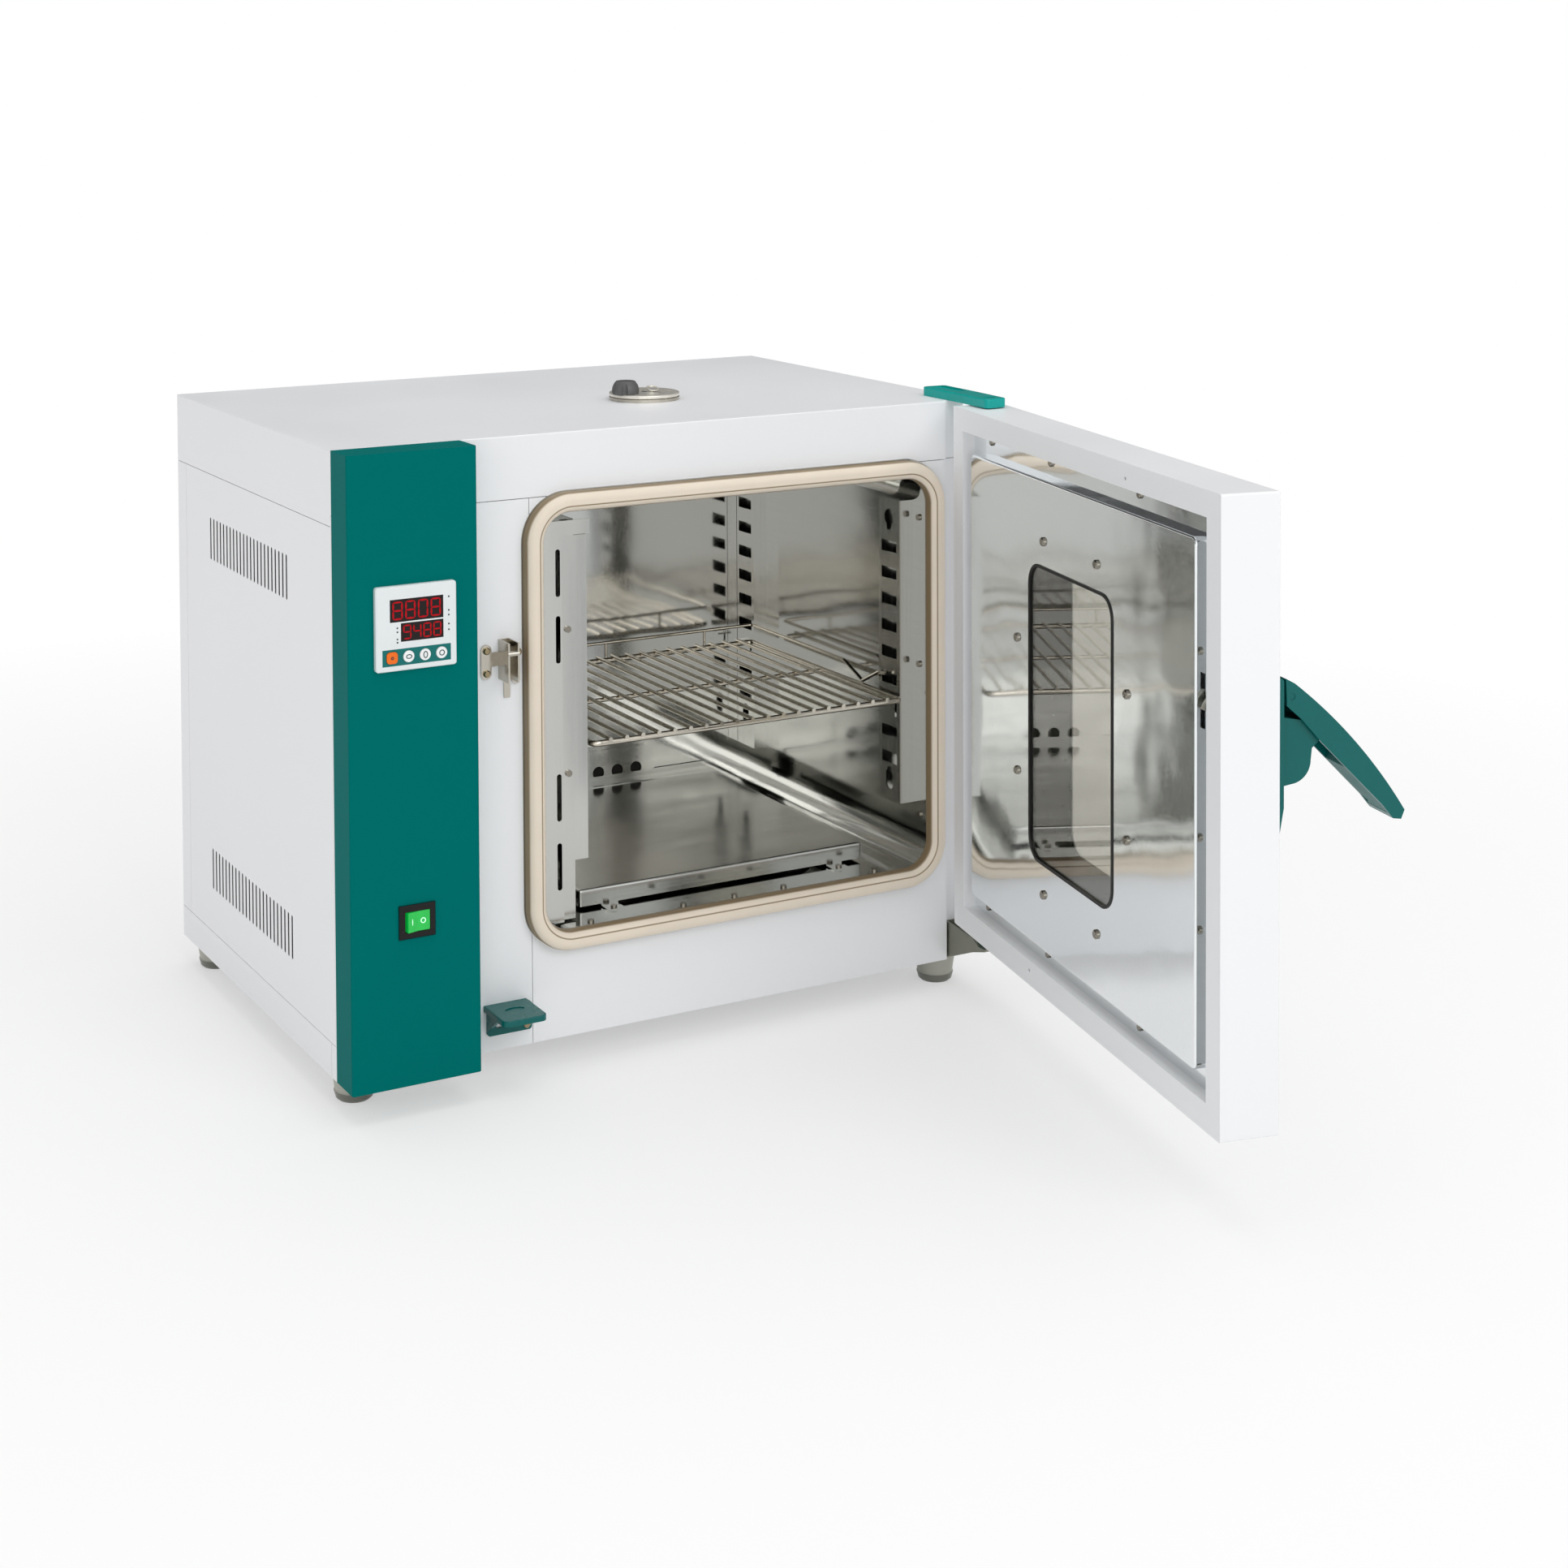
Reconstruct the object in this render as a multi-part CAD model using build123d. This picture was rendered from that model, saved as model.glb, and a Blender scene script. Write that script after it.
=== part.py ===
"""A bench drying oven with its door open, as separate sub-parts in millimetres.

The casing is drawn with x from its left side, y back from its front face and z up from its underside.
At the end everything moves so that the origin is on the bench, below the middle of the casing.
The door is drawn closed and is then turned about its hinge pins to the angle at which it stands open.
"""

import os
from math import cos, pi, radians, sin

from build123d import *

# Casing
casing_width = 648.0
casing_depth = 424.0
casing_height = 535.0
casing_sheet = 1.5
panel_gap = 0.6
bend_radius = 2.0
side_panel_bottom = 30.0
side_panel_top = casing_height - 65.0
front_skirt_bottom = casing_height - 55.0
rear_wrap = 26.0
corner_recess_width = 31.0
corner_recess_depth = 5.0
corner_radius = 16.0
corner_wrap = 34.0
bay_flange = 12.0


# Feet
foot_height = 27.0
foot_inset_x = 26.0
foot_inset_y = 24.0
foot_top_radius = 19.5
foot_waist_radius = 16.2
foot_ring_radius = 17.5
foot_ring_height = 8.0
foot_stud_radius = 4.0
foot_stud_length = 12.0

# Side vents
vent_slot_width = 3.8
vent_slot_pitch = 9.6
upper_vents = 23
upper_vent_height = 40.0
upper_vent_z = casing_height - 126.0
lower_vents = 24
lower_vent_height = 39.0
lower_vent_z = 91.5
vents_centre_y = casing_depth / 2 + 6.0

# Control column
column_width = 117.0
column_depth = 37.0
column_bend = 2.5
column_opening_margin = 14.0
bay_front_width = column_width + 65.0
bay_wall_x = column_width + 23.0

# Temperature controller
bezel_width = 72.5
bezel_height = 71.0
bezel_thickness = 5.0
bezel_corner = 2.5
controller_x = column_width / 2 + 0.3
controller_z = casing_height - 146.5
controller_body = 66.0
controller_body_depth = 75.0
panel_cut_clearance = 0.5
display_depth = 1.2
main_display = (48.0, 19.0)
main_display_z = controller_z + 15.0
set_display = (38.3, 15.5)
set_display_z = controller_z - 3.5
display_right_x = controller_x + 24.2
keypad_width = 61.5
keypad_height = 14.0
keypad_z = controller_z - 24.0
keypad_thickness = 0.5
key_size = 9.7
key_pitch = 14.8
key_gap = 0.25
key_proud = 1.2
key_length = 2.6
key_pocket = 3.2
key_count = 4

# Mains rocker switch
switch_x = column_width / 2
switch_z = 139.5
switch_bezel_width = 32.6
switch_bezel_height = 28.3
switch_bezel_thickness = 2.5
switch_body_depth = 24.0
switch_body_inset = 2.2
rocker_length = 20.4
rocker_height = 16.6
rocker_dip = 1.4
rocker_proud = 4.2
rocker_back = 5.0
rocker_tilt = 7.0
rocker_gap = 0.4
rocker_swing_room = 1.2
rocker_pivot_depth = 1.0
rocker_pin_radius = 1.5
rocker_pin_clearance = 0.06

# Chamber
chamber_left_room = 76.0
chamber_right_room = 55.0
chamber_top_room = 70.0
chamber_back_room = 79.0
chamber_floor = 96.0
chamber_left = column_width + chamber_left_room
chamber_right = casing_width - chamber_right_room
chamber_top = casing_height - chamber_top_room
chamber_width = chamber_right - chamber_left
chamber_height = chamber_top - chamber_floor
chamber_depth = casing_depth - chamber_back_room
chamber_middle_x = (chamber_left + chamber_right) / 2
chamber_middle_z = (chamber_floor + chamber_top) / 2
chamber_radius = 25.0
liner_sheet = 1.0
liner_flange = 19.0
liner_clearance = 0.5
back_pad_width = 96.0
back_pad_height = 38.0
back_pad_centre = (chamber_right - 159.0, chamber_floor + 31.5)
back_pad_proud = 2.0
back_hole_radius = 6.5
back_hole_pitch = 21.7
insulation_front = 8.0

# Door gasket
gasket_width = 17.0
gasket_proud = 11.7
gasket_lip = 1.0
gasket_bead_radius = 7.0

# Air duct on the chamber's left wall
duct_sheet = 1.0
duct_front_y = 10.0
duct_step_y = 16.0
duct_step_x = chamber_left + 25.0
duct_face_x = chamber_left + 39.0
duct_back_y = chamber_depth - 10.0
duct_bottom = chamber_floor + 2.0
duct_top = chamber_top - 10.0
duct_fit = 0.3
duct_cleat_height = 13.0
duct_cleat_inset = 5.0
duct_slot_width = 4.5
duct_slot_height = 42.0
duct_slot_x = chamber_left + 21.0
duct_slot_heights = (duct_top - 46.0, duct_top - 105.0, duct_bottom + 111.5, duct_bottom + 50.0)
air_slot_length = 60.0
air_slot_height = 6.0
air_slot_rows = 5
air_slot_pitch = 16.0

# Circulation fan
fan_y = chamber_depth / 2 - 0.5
fan_z = chamber_middle_z - 12.5
fan_radius = 62.0
fan_hub_radius = 11.0
fan_eye_radius = 26.0
fan_blades = 10
fan_sheet = 1.5
fan_depth = 24.0
fan_wall_gap = 5.0
shaft_radius = 4.0
shaft_clearance = 0.05
shaft_hole_radius = 8.0
motor_radius = 38.0
motor_length = 60.0
motor_flange_radius = 46.0
motor_flange = 4.0
motor_bore_depth = 40.0

# Rack uprights and their slots
upright_width = 36.0
upright_depth_right = 15.0
upright_depth_left = 13.0
upright_sheet = 1.2
upright_front_y = 21.0
upright_rear_y = chamber_depth - 46.0
upright_front_bottom = chamber_floor + 54.0
upright_rear_bottom = chamber_floor + 42.0
upright_top = chamber_top - 25.0
rack_slot_width = 26.0
rack_slot_height = 11.0
rack_slot_pitch = 25.4
rack_slot_top = upright_top - 46.0
rack_slots_room = 39.0
rack_slots = 1 + int((rack_slot_top - upright_front_bottom - rack_slots_room) / rack_slot_pitch)
keyhole_radius = 8.0
keyhole_z = upright_top - 18.0
tall_hole_width = 12.0
tall_hole_height = 22.0
tall_hole_z = upright_front_bottom + 21.0
upright_cap = 9.0

# Shelf and its clips
shelf_z = chamber_floor + 156.0
shelf_front_y = 13.0
shelf_rear_y = chamber_depth - 49.0
frame_wire = 5.5
grid_wire = 4.0
guard_wire = 3.2
shelf_wires = 19
shelf_side_gap = 1.5
shelf_rest_gap = 0.3
shelf_corner = 6.0
guard_height = 18.0
guard_bend = 4.0
guard_post_wire = 2.6
guard_posts = 3
guard_side_bends = ((26.0, 20.0), (38.0, 19.0), (67.0, 4.6), (101.0, 18.0))
clip_width = 22.0
clip_reach = 8.0
clip_sheet = 2.0
clip_tab = 6.0

# Heater under its floor cover
heater_cover_x = (chamber_left + 53.0, chamber_right - 49.0)
heater_cover_y = (37.0, chamber_depth - 17.0)
heater_cover_height = 18.0
heater_cover_sheet = 1.2
heater_cover_gap = 3.0
heater_tab_width = 17.0
heater_tab_length = 14.0
heater_tab_x = (heater_cover_x[0] + 30.5, heater_cover_x[1] - 30.0)
heater_tube = 7.0
heater_hairpins = 3
heater_leg_gap = 40.0
heater_pitch = (heater_cover_x[1] - heater_cover_x[0] - 22.0) / heater_hairpins
heater_front_y = 62.0
heater_lift = 7.5

# Temperature probe
probe_x = chamber_left + 107.0
probe_z = chamber_top - 135.0
probe_radius = 2.5
probe_length = 70.0
probe_nut_radius = 7.0
probe_nut_height = 8.0

# Vent on top
vent_x = chamber_middle_x - 14.0
vent_y = chamber_depth / 2 - 11.5
vent_radius = 33.7
vent_collar_height = 3.6
vent_bore = 21.0
vent_wall = 1.5
vent_disc_thickness = 3.0
vent_gap = 0.3
vent_spindle_radius = 3.0
vent_spindle_clearance = 0.06
vent_port_radius = 3.0
vent_port_offset = 26.0
vent_knob_radius = 13.0
vent_knob_height = 12.5
vent_knob_offset = 24.5
vent_knob_angle = 196.0
vent_loop_radius = 5.5
vent_loop_wire = 1.6
vent_loop_offset = 9.0

# Door
door_column_gap = 3.0
door_edge_gap = 6.0
door_top_gap = 1.0
door_thickness = 50.0
door_bottom = 44.0
door_width = casing_width - column_width - door_column_gap - door_edge_gap
door_height = casing_height - door_bottom - door_top_gap
door_top = door_bottom + door_height
door_middle_z = door_bottom + door_height / 2
door_stand_off = 11.0
door_sheet = 1.2
door_stile = 22.6
door_rail_top = 21.0
door_rail_bottom = 22.0
door_recess = 12.0
door_rest_angle = 78.0
drain_hole_radius = 1.5
drain_holes = ((door_width - 160.5, door_top - 13.0), (172.4, door_bottom + 13.0))

# Hinge pins
hinge_inset = 8.0
hinge_depth = 27.0
hinge_pin_radius = 4.0
hinge_clearance = 0.06
hinge_boss_radius = 6.8
hinge_boss_length = 26.0
hinge_pin_reach = 22.0
hinge_collar_radius = 6.5
hinge_end_gap = 0.3

# Door tray and window
tray_sheet = 1.0
tray_lift = 10.0
tray_left_u = 36.0
tray_right_u = door_width - 44.0
tray_bottom = door_bottom + 38.0
tray_top = door_top - 40.0
tray_corner = 6.0
tray_overlap = 7.0
window_u = door_width / 2 - 9.5
window_z = door_middle_z - 0.5
window_width = door_width - 355.5
window_height = door_height - 229.0
window_corner = 20.0
glass_thickness = 4.0
glass_overlap = 14.0
spacer_sheet = 1.2
spacer_flange = 36.0
window_bolts = (
    (window_width / 2 - 30.25, window_height / 2 + 24.0),
    (window_width / 2 + 25.75, window_height / 2 - 71.0),
)
window_bolt_radius = 4.0
window_bolt_head = 2.4
window_bolt_shank = 2.0
window_bolt_length = 10.0
tray_screw_radius = 3.2
tray_screw_head = 2.4
tray_screw_shank = 1.6
tray_screw_length = 4.0
tray_screw_far_u = door_width - 32.0
tray_screw_top = door_top - 26.0
tray_screw_bottom = door_bottom + 31.0
tray_screw_holes = (
    (64.0, tray_screw_top),
    (193.0, tray_screw_top),
    (door_width - 157.6, tray_screw_top),
    (tray_screw_far_u, tray_screw_top - 5.0),
    (tray_screw_far_u, door_top - 130.0),
    (tray_screw_far_u, door_middle_z - 30.0),
    (tray_screw_far_u, door_middle_z - 102.0),
    (tray_screw_far_u, tray_screw_bottom + 3.0),
    (door_width - 156.6, tray_screw_bottom),
    (187.0, tray_screw_bottom),
    (55.0, tray_screw_bottom),
    (29.5, door_middle_z - 109.0),
    (29.5, door_middle_z),
    (29.5, door_middle_z + 107.0),
)
screw_clearance = 0.2

# Door handle: distances out from the door's outer face and heights above the latch's pivot
latch_z = door_middle_z + 61.0
handle_u = door_width - 35.0
handle_width = 34.0
handle_wall = 2.5
handle_base = 13.0
handle_base_bottom = -84.0
handle_top = 37.0
lever_pivot = (20.0, 23.0)
lever_trunnion_radius = 2.5
lever_trunnion_clearance = 0.06
lever_boss_radius = 5.0
lever_travel = 10.0
lever_skin = 2.2
housing_lobe_width = 26.0
housing_lobe_corner = (50.0, -9.0)
lever_tip = (117.0, -72.0)
lever_back = (74.5, -16.0)
lever_head = (22.0, 33.0)
link_window_width = 12.0
link_window_height = 40.0

# Latch inside the door, and the strike that it hooks
strike_pin_radius = 2.5
strike_pin_y = -19.6
latch_pivot_y = -44.0
latch_x = column_width + 39.9
hook_thickness = 5.0
hook_hub_radius = 7.0
hook_hub_width = 8.4
hook_nose_gap = 0.8
hook_nose = 4.8
hook_open_angle = 30.0
latch_pin_radius = 2.5
latch_pin_clearance = 0.06
latch_cheek_gap = 0.3
latch_cheek_sheet = 1.5
latch_cheek_height = 30.0
hook_slot_width = 8.0
strike_bracket_bottom = latch_z - 25.0
strike_bracket_top = latch_z + 9.5
strike_bracket_width = 10.6
strike_sheet = 1.6
strike_proud = 21.5
strike_plate_thickness = 2.0
strike_tongue_bottom = latch_z - 42.0
strike_tongue_width = 5.8
strike_screws = (
    (column_width + 22.7, latch_z + 0.7),
    (column_width + 22.7, latch_z - 19.0),
    (column_width + 52.2, latch_z - 3.0),
)
strike_lug_radius = 4.2
loop_height = 24.0
loop_width = 7.4
loop_wire = 2.0

# Hinge arm, lower bracket and door rest
arm_thickness = 8.5
arm_rear_y = 48.0
arm_front_y = -64.0
arm_rear_left_x = casing_width - 26.0
arm_front_left_x = casing_width - 28.5
arm_rear_right_x = casing_width - 0.5
arm_front_right_x = casing_width - 5.5
arm_corner = 4.0
arm_recess_depth = 1.2
arm_recess_margin = 4.0
bracket_left_x = casing_width - 29.5
bracket_right_x = casing_width - 3.0
bracket_sheet = 2.0
bracket_front_y = -61.0
bracket_plate_z = 25.0
bracket_top_z = 36.0
bracket_bottom_z = 0.5
cover_radius = 11.0
cover_height = 9.0
rest_shelf_x = (column_width + 18.0, column_width + 59.0)
rest_plate_x = (column_width + 20.5, column_width + 63.0)
rest_shelf_depth = 45.0
rest_shelf_thickness = 5.0
rest_top_z = 41.0
rest_bottom_z = 14.0
rest_plate_thickness = 2.5
rest_corner = 6.0
rest_slot = (18.0, 8.0)

# Casing screws and mains gland
screw_head_radius = 3.2
screw_head_height = 2.2
screw_shank_radius = 1.6
chamber_screw_radius = 3.0
chamber_screw_head = 1.8
gland_x = 62.0
gland_z = 62.0
gland_radius = 11.0
gland_length = 16.0
gland_bore = 4.5

# Values worked out from the sizes above
corner_x = casing_width - corner_recess_width
column_front = -column_depth
door_hinge_edge = column_width + door_column_gap + door_width
door_inner = -door_stand_off
door_outer = door_inner - door_thickness
door_skin_back = door_outer + door_sheet
tray_flange_face = door_inner - door_recess
tray_face = tray_flange_face + tray_lift
hinge_x = door_hinge_edge - hinge_inset
hinge_y = door_inner - hinge_depth
upright_right_x = chamber_right - upright_depth_right
upright_left_x = duct_face_x + upright_depth_left
handle_x = door_hinge_edge - handle_u
window_x = door_hinge_edge - window_u
fan_start_x = chamber_left + fan_wall_gap


def block(x, y, z):
    """Return a box between the pair of values on each axis."""
    size = [high - low for low, high in (x, y, z)]
    centre = [(low + high) / 2 for low, high in (x, y, z)]
    return Pos(*centre) * Box(*size)


def front_prism(sketch, y):
    """Extrude a sketch drawn in x and z through the depths y."""
    plane = Plane(origin=(0, y[1], 0), x_dir=(1, 0, 0), z_dir=(0, -1, 0))
    return extrude(plane * sketch, amount=y[1] - y[0])


def side_prism(sketch, x):
    """Extrude a sketch drawn in y and z through the widths x."""
    plane = Plane(origin=(x[0], 0, 0), x_dir=(0, 1, 0), z_dir=(1, 0, 0))
    return extrude(plane * sketch, amount=x[1] - x[0])


def plan_prism(sketch, z):
    """Extrude a sketch drawn in x and y through the heights z."""
    return extrude(Pos(0, 0, z[0]) * sketch, amount=z[1] - z[0])


def rod_x(radius, x, y, z):
    """Return a round rod along x."""
    return side_prism(Pos(y, z) * Circle(radius), x)


def rod_y(radius, y, x, z):
    """Return a round rod along y."""
    return front_prism(Pos(x, z) * Circle(radius), y)


def rod_z(radius, z, x, y):
    """Return a round rod along z."""
    return plan_prism(Pos(x, y) * Circle(radius), z)


def rounded_rectangle(x, z, radius):
    """Return a rounded rectangle between the pairs x and z."""
    sketch = RectangleRounded(x[1] - x[0], z[1] - z[0], radius)
    return Pos((x[0] + x[1]) / 2, (z[0] + z[1]) / 2) * sketch


def about(middle, size):
    """Return the pair of ends of a length centred on a value."""
    return (middle - size / 2, middle + size / 2)


def door_x(u):
    """Return the x of a place u from the hinge edge of the closed door."""
    return door_hinge_edge - u


def pan_screw_y(x, z, face, radius, head, shank, length):
    """Return a pan-head screw whose head stands out towards the front from a face."""
    screw = rod_y(radius, (face - head, face), x, z)
    screw = chamfer(screw.faces().sort_by(Axis.Y)[0].edges(), head * 0.4)
    return screw + rod_y(shank, (face, face + length), x, z)


def casing_outline():
    """Return the casing's plan with its recessed and rounded front right corner."""
    corner = (casing_width, corner_recess_depth)
    outline = make_face(
        Polyline(
            (0, 0),
            (corner_x, 0),
            (corner_x, corner_recess_depth),
            corner,
            (casing_width, casing_depth),
            (0, casing_depth),
            close=True,
        )
    )
    vertex = outline.vertices().sort_by_distance(Vector(*corner))[0]
    return fillet(vertex, corner_radius)


def casing_skin(z):
    """Return the casing's upright walls between two heights."""
    outline = casing_outline()
    inside = offset(outline, -casing_sheet, kind=Kind.INTERSECTION)
    return plan_prism(outline, z) - plan_prism(inside, z)


def chamber_outline(grow):
    """Return the chamber's rounded section, grown on every side."""
    x = (chamber_left - grow, chamber_right + grow)
    z = (chamber_floor - grow, chamber_top + grow)
    return rounded_rectangle(x, z, chamber_radius + grow)


def make_top_cover():
    """Return the folded lid with its skirt and the vent's hole."""
    skirt_z = (side_panel_top + panel_gap, casing_height - casing_sheet)
    lid = plan_prism(casing_outline(), (skirt_z[1], casing_height))
    lid = fillet(lid.faces().sort_by(Axis.Z)[-1].edges().filter_by(GeomType.LINE), bend_radius / 2)
    cover = lid + casing_skin(skirt_z)
    gap_z = (skirt_z[0], front_skirt_bottom)
    front_gap = block((0, casing_width), (0, casing_sheet + panel_gap), gap_z)
    front_gap += block((corner_x - casing_sheet, casing_width), (0, corner_wrap), gap_z)
    vent_hole = rod_z(vent_bore + vent_wall, (skirt_z[0], casing_height), vent_x, vent_y)
    return cover - front_gap - vent_hole


def make_front_fascia():
    """Return the front sheet round the chamber's mouth, folded round the right corner."""
    z = (0, front_skirt_bottom - panel_gap)
    region = block((bay_front_width + panel_gap / 2, casing_width), (0, corner_wrap), z)
    mouth = front_prism(chamber_outline(liner_sheet + liner_clearance), (0, corner_wrap))
    return (casing_skin(z) & region) - mouth - casing_screw_holes(casing_screw_places())


def make_control_bay_front():
    """Return the front sheet of the control bay, which carries the strike and the door rest."""
    right = bay_front_width - panel_gap / 2
    plate = block((0, right), (0, casing_sheet), (0, front_skirt_bottom - panel_gap))
    flange = block((0, casing_sheet), (0, bay_flange), (0, side_panel_bottom - panel_gap))
    opening_x = (column_opening_margin, column_width - column_opening_margin)
    opening = block(opening_x, (0, casing_sheet), (60, front_skirt_bottom - 20))
    mouth = front_prism(chamber_outline(liner_sheet + liner_clearance), (0, casing_sheet))
    return plate + flange - opening - mouth - casing_screw_holes(casing_screw_places())


def vent_slots(count, height, z):
    """Return the cutters for one row of upright slots in the left panel."""
    slot = SlotOverall(height, vent_slot_width, rotation=90)
    places = GridLocations(vent_slot_pitch, 0, count, 1)
    row = Sketch() + places * slot
    return side_prism(Pos(vents_centre_y, z) * row, (0, casing_sheet))


def side_panel(x):
    """Return one flat side panel of the casing."""
    y = (2.0, casing_depth - rear_wrap)
    return block(x, y, (side_panel_bottom, side_panel_top))


def make_left_side_panel():
    """Return the removable left panel with its two rows of vents."""
    panel = side_panel((0, casing_sheet))
    panel -= vent_slots(upper_vents, upper_vent_height, upper_vent_z)
    return panel - vent_slots(lower_vents, lower_vent_height, lower_vent_z)


def make_right_side_panel():
    """Return the plain right panel, from the front sheet's fold to the rear panel."""
    y = (corner_wrap + panel_gap, casing_depth - rear_wrap)
    x = (casing_width - casing_sheet, casing_width)
    return block(x, y, (side_panel_bottom, side_panel_top))


def make_rear_panel():
    """Return the rear panel, folded round both rear corners."""
    z = (side_panel_bottom, side_panel_top)
    y = (casing_depth - rear_wrap + panel_gap, casing_depth)
    panel = casing_skin(z) & block((0, casing_width), y, z)
    return panel - rod_y(gland_bore + 3, y, gland_x, gland_z)


def make_base_pan():
    """Return the tray under the casing that the feet are screwed to."""
    top = side_panel_bottom - panel_gap
    room = block((0, casing_width), (corner_wrap + panel_gap, casing_depth), (0, top))
    front_y = (casing_sheet, corner_wrap + panel_gap)
    front_x = (casing_sheet, corner_x - casing_sheet)
    room += block((0, casing_sheet), (bay_flange + panel_gap, corner_wrap + panel_gap), (0, top))
    pan = casing_skin((0, top)) & room
    pan += block((casing_sheet, casing_width - casing_sheet), room_depth(), (0, casing_sheet))
    pan += block(front_x, front_y, (0, casing_sheet))
    for x, y in foot_places():
        pan -= rod_z(foot_stud_radius, (0, casing_sheet), x, y)
    return pan


def room_depth():
    """Return the depths between which the base pan has its full width."""
    return (corner_wrap + panel_gap, casing_depth - casing_sheet)


def make_control_bay_wall():
    """Return the wall between the control bay and the insulation, which carries the motor."""
    y = (casing_sheet, casing_depth - casing_sheet)
    wall = block((bay_wall_x, bay_wall_x + casing_sheet), y, (casing_sheet, casing_height - casing_sheet))
    return wall - rod_x(shaft_hole_radius, (bay_wall_x, bay_wall_x + casing_sheet), fan_y, fan_z)


def foot_places():
    """Return the plan positions of the four feet."""
    columns = (foot_inset_x, casing_width - foot_inset_x)
    rows = (foot_inset_y + 4, casing_depth - foot_inset_y)
    return [(x, y) for x in columns for y in rows]


def make_feet():
    """Return four tapered feet, each turned from one profile with its tread ring and stud."""
    ring_top = -foot_height + foot_ring_height
    profile = make_face(
        Polyline(
            (0, -foot_height),
            (foot_waist_radius - 2, -foot_height),
            (foot_waist_radius, -foot_height + 2),
            (foot_ring_radius, ring_top - 1),
            (foot_ring_radius, ring_top),
            (foot_waist_radius + 0.6, ring_top + 0.8),
            (foot_top_radius, 0),
            (foot_stud_radius, 0),
            (foot_stud_radius, foot_stud_length),
            (0, foot_stud_length),
            close=True,
        )
    )
    foot = revolve(Plane.XZ * profile, Axis.Z)
    return Compound([Pos(x, y, 0) * foot for x, y in foot_places()])


def make_control_column():
    """Return the folded column cover with its two instrument cut-outs, open at the back."""
    outer = block((0, column_width), (column_front, 0), (0, casing_height))
    bends = outer.edges().filter_by(Axis.Z).group_by(Axis.Y)[0]
    outer = fillet(bends, column_bend)
    inner_x = (casing_sheet, column_width - casing_sheet)
    inner = block(inner_x, (column_front + casing_sheet, 0), (casing_sheet, casing_height - casing_sheet))
    cut = controller_body + 2 * panel_cut_clearance
    controller_hole = block(about(controller_x, cut), (column_front, 0), about(controller_z, cut))
    switch_cut = 2 * (panel_cut_clearance - switch_body_inset)
    switch_hole = block(
        about(switch_x, switch_bezel_width + switch_cut),
        (column_front, 0),
        about(switch_z, switch_bezel_height + switch_cut),
    )
    return outer - inner - controller_hole - switch_hole


def display_boxes():
    """Return the two display windows as boxes in the controller's face."""
    face = column_front - bezel_thickness
    y = (face, face + display_depth)
    boxes = []
    for size, z in ((main_display, main_display_z), (set_display, set_display_z)):
        boxes.append(block((display_right_x - size[0], display_right_x), y, about(z, size[1])))
    return boxes


def key_x(index):
    """Return the x of one key's middle."""
    return controller_x + (index - (key_count - 1) / 2) * key_pitch


def key_outline(index, size):
    """Return one key's outline, a rounded square for the first and round for the others."""
    place = Pos(key_x(index), keypad_z)
    if index == 0:
        return place * RectangleRounded(size, size, size * 0.3)
    return place * Circle(size / 2)


def keypad_plate(y):
    """Return the key strip's outline as a plate."""
    return block(about(controller_x, keypad_width), y, about(keypad_z, keypad_height))


def make_controller_case():
    """Return the controller's moulded bezel and body with its display and key recesses."""
    face = column_front - bezel_thickness
    bezel_outline = rounded_rectangle(
        about(controller_x, bezel_width), about(controller_z, bezel_height), bezel_corner
    )
    bezel = front_prism(bezel_outline, (face, column_front))
    bezel = chamfer(bezel.faces().sort_by(Axis.Y)[0].edges(), 0.8)
    body_y = (column_front, column_front + controller_body_depth)
    case = bezel + block(about(controller_x, controller_body), body_y, about(controller_z, controller_body))
    case -= keypad_plate((face, face + keypad_thickness))
    for box in display_boxes():
        case -= box
    for index in range(key_count):
        pocket = (face, face + keypad_thickness + key_pocket)
        case -= front_prism(key_outline(index, key_size + 2 * key_gap), pocket)
    return case


def make_display_windows():
    """Return the two dark display windows."""
    return Compound(display_boxes())


def make_keypad_strip():
    """Return the thin key strip with a hole for each key."""
    face = column_front - bezel_thickness
    y = (face, face + keypad_thickness)
    strip = keypad_plate(y)
    for index in range(key_count):
        strip -= front_prism(key_outline(index, key_size + 2 * key_gap), y)
    return strip


def make_key(index):
    """Return one key cap with a softened front edge."""
    front = column_front - bezel_thickness - key_proud
    cap = front_prism(key_outline(index, key_size), (front, front + key_length + key_proud))
    return chamfer(cap.faces().sort_by(Axis.Y)[0].edges(), 0.4)


def rocker_swing_length():
    """Return the length of the well that the rocker swings in."""
    return rocker_length + 2 * rocker_swing_room


def rocker_axis_y():
    """Return the depth of the rocker's pivot."""
    return column_front - switch_bezel_thickness + rocker_pivot_depth + rocker_proud


def make_switch_housing():
    """Return the rocker switch's bezel and body with the rocker's well and pivot pins."""
    front = column_front - switch_bezel_thickness
    bezel_z = about(switch_z, switch_bezel_height)
    bezel = block(about(switch_x, switch_bezel_width), (front, column_front), bezel_z)
    bezel = chamfer(bezel.faces().sort_by(Axis.Y)[0].edges(), 0.8)
    body_x = about(switch_x, switch_bezel_width - 2 * switch_body_inset)
    body_z = about(switch_z, switch_bezel_height - 2 * switch_body_inset)
    housing = bezel + block(body_x, (column_front, column_front + switch_body_depth), body_z)
    well_z = about(switch_z, rocker_height + 2 * rocker_gap)
    well_y = (front, rocker_axis_y() + rocker_back + 3)
    housing -= block(about(switch_x, rocker_swing_length()), well_y, well_z)
    return housing + rod_z(rocker_pin_radius, well_z, switch_x, rocker_axis_y())


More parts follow.
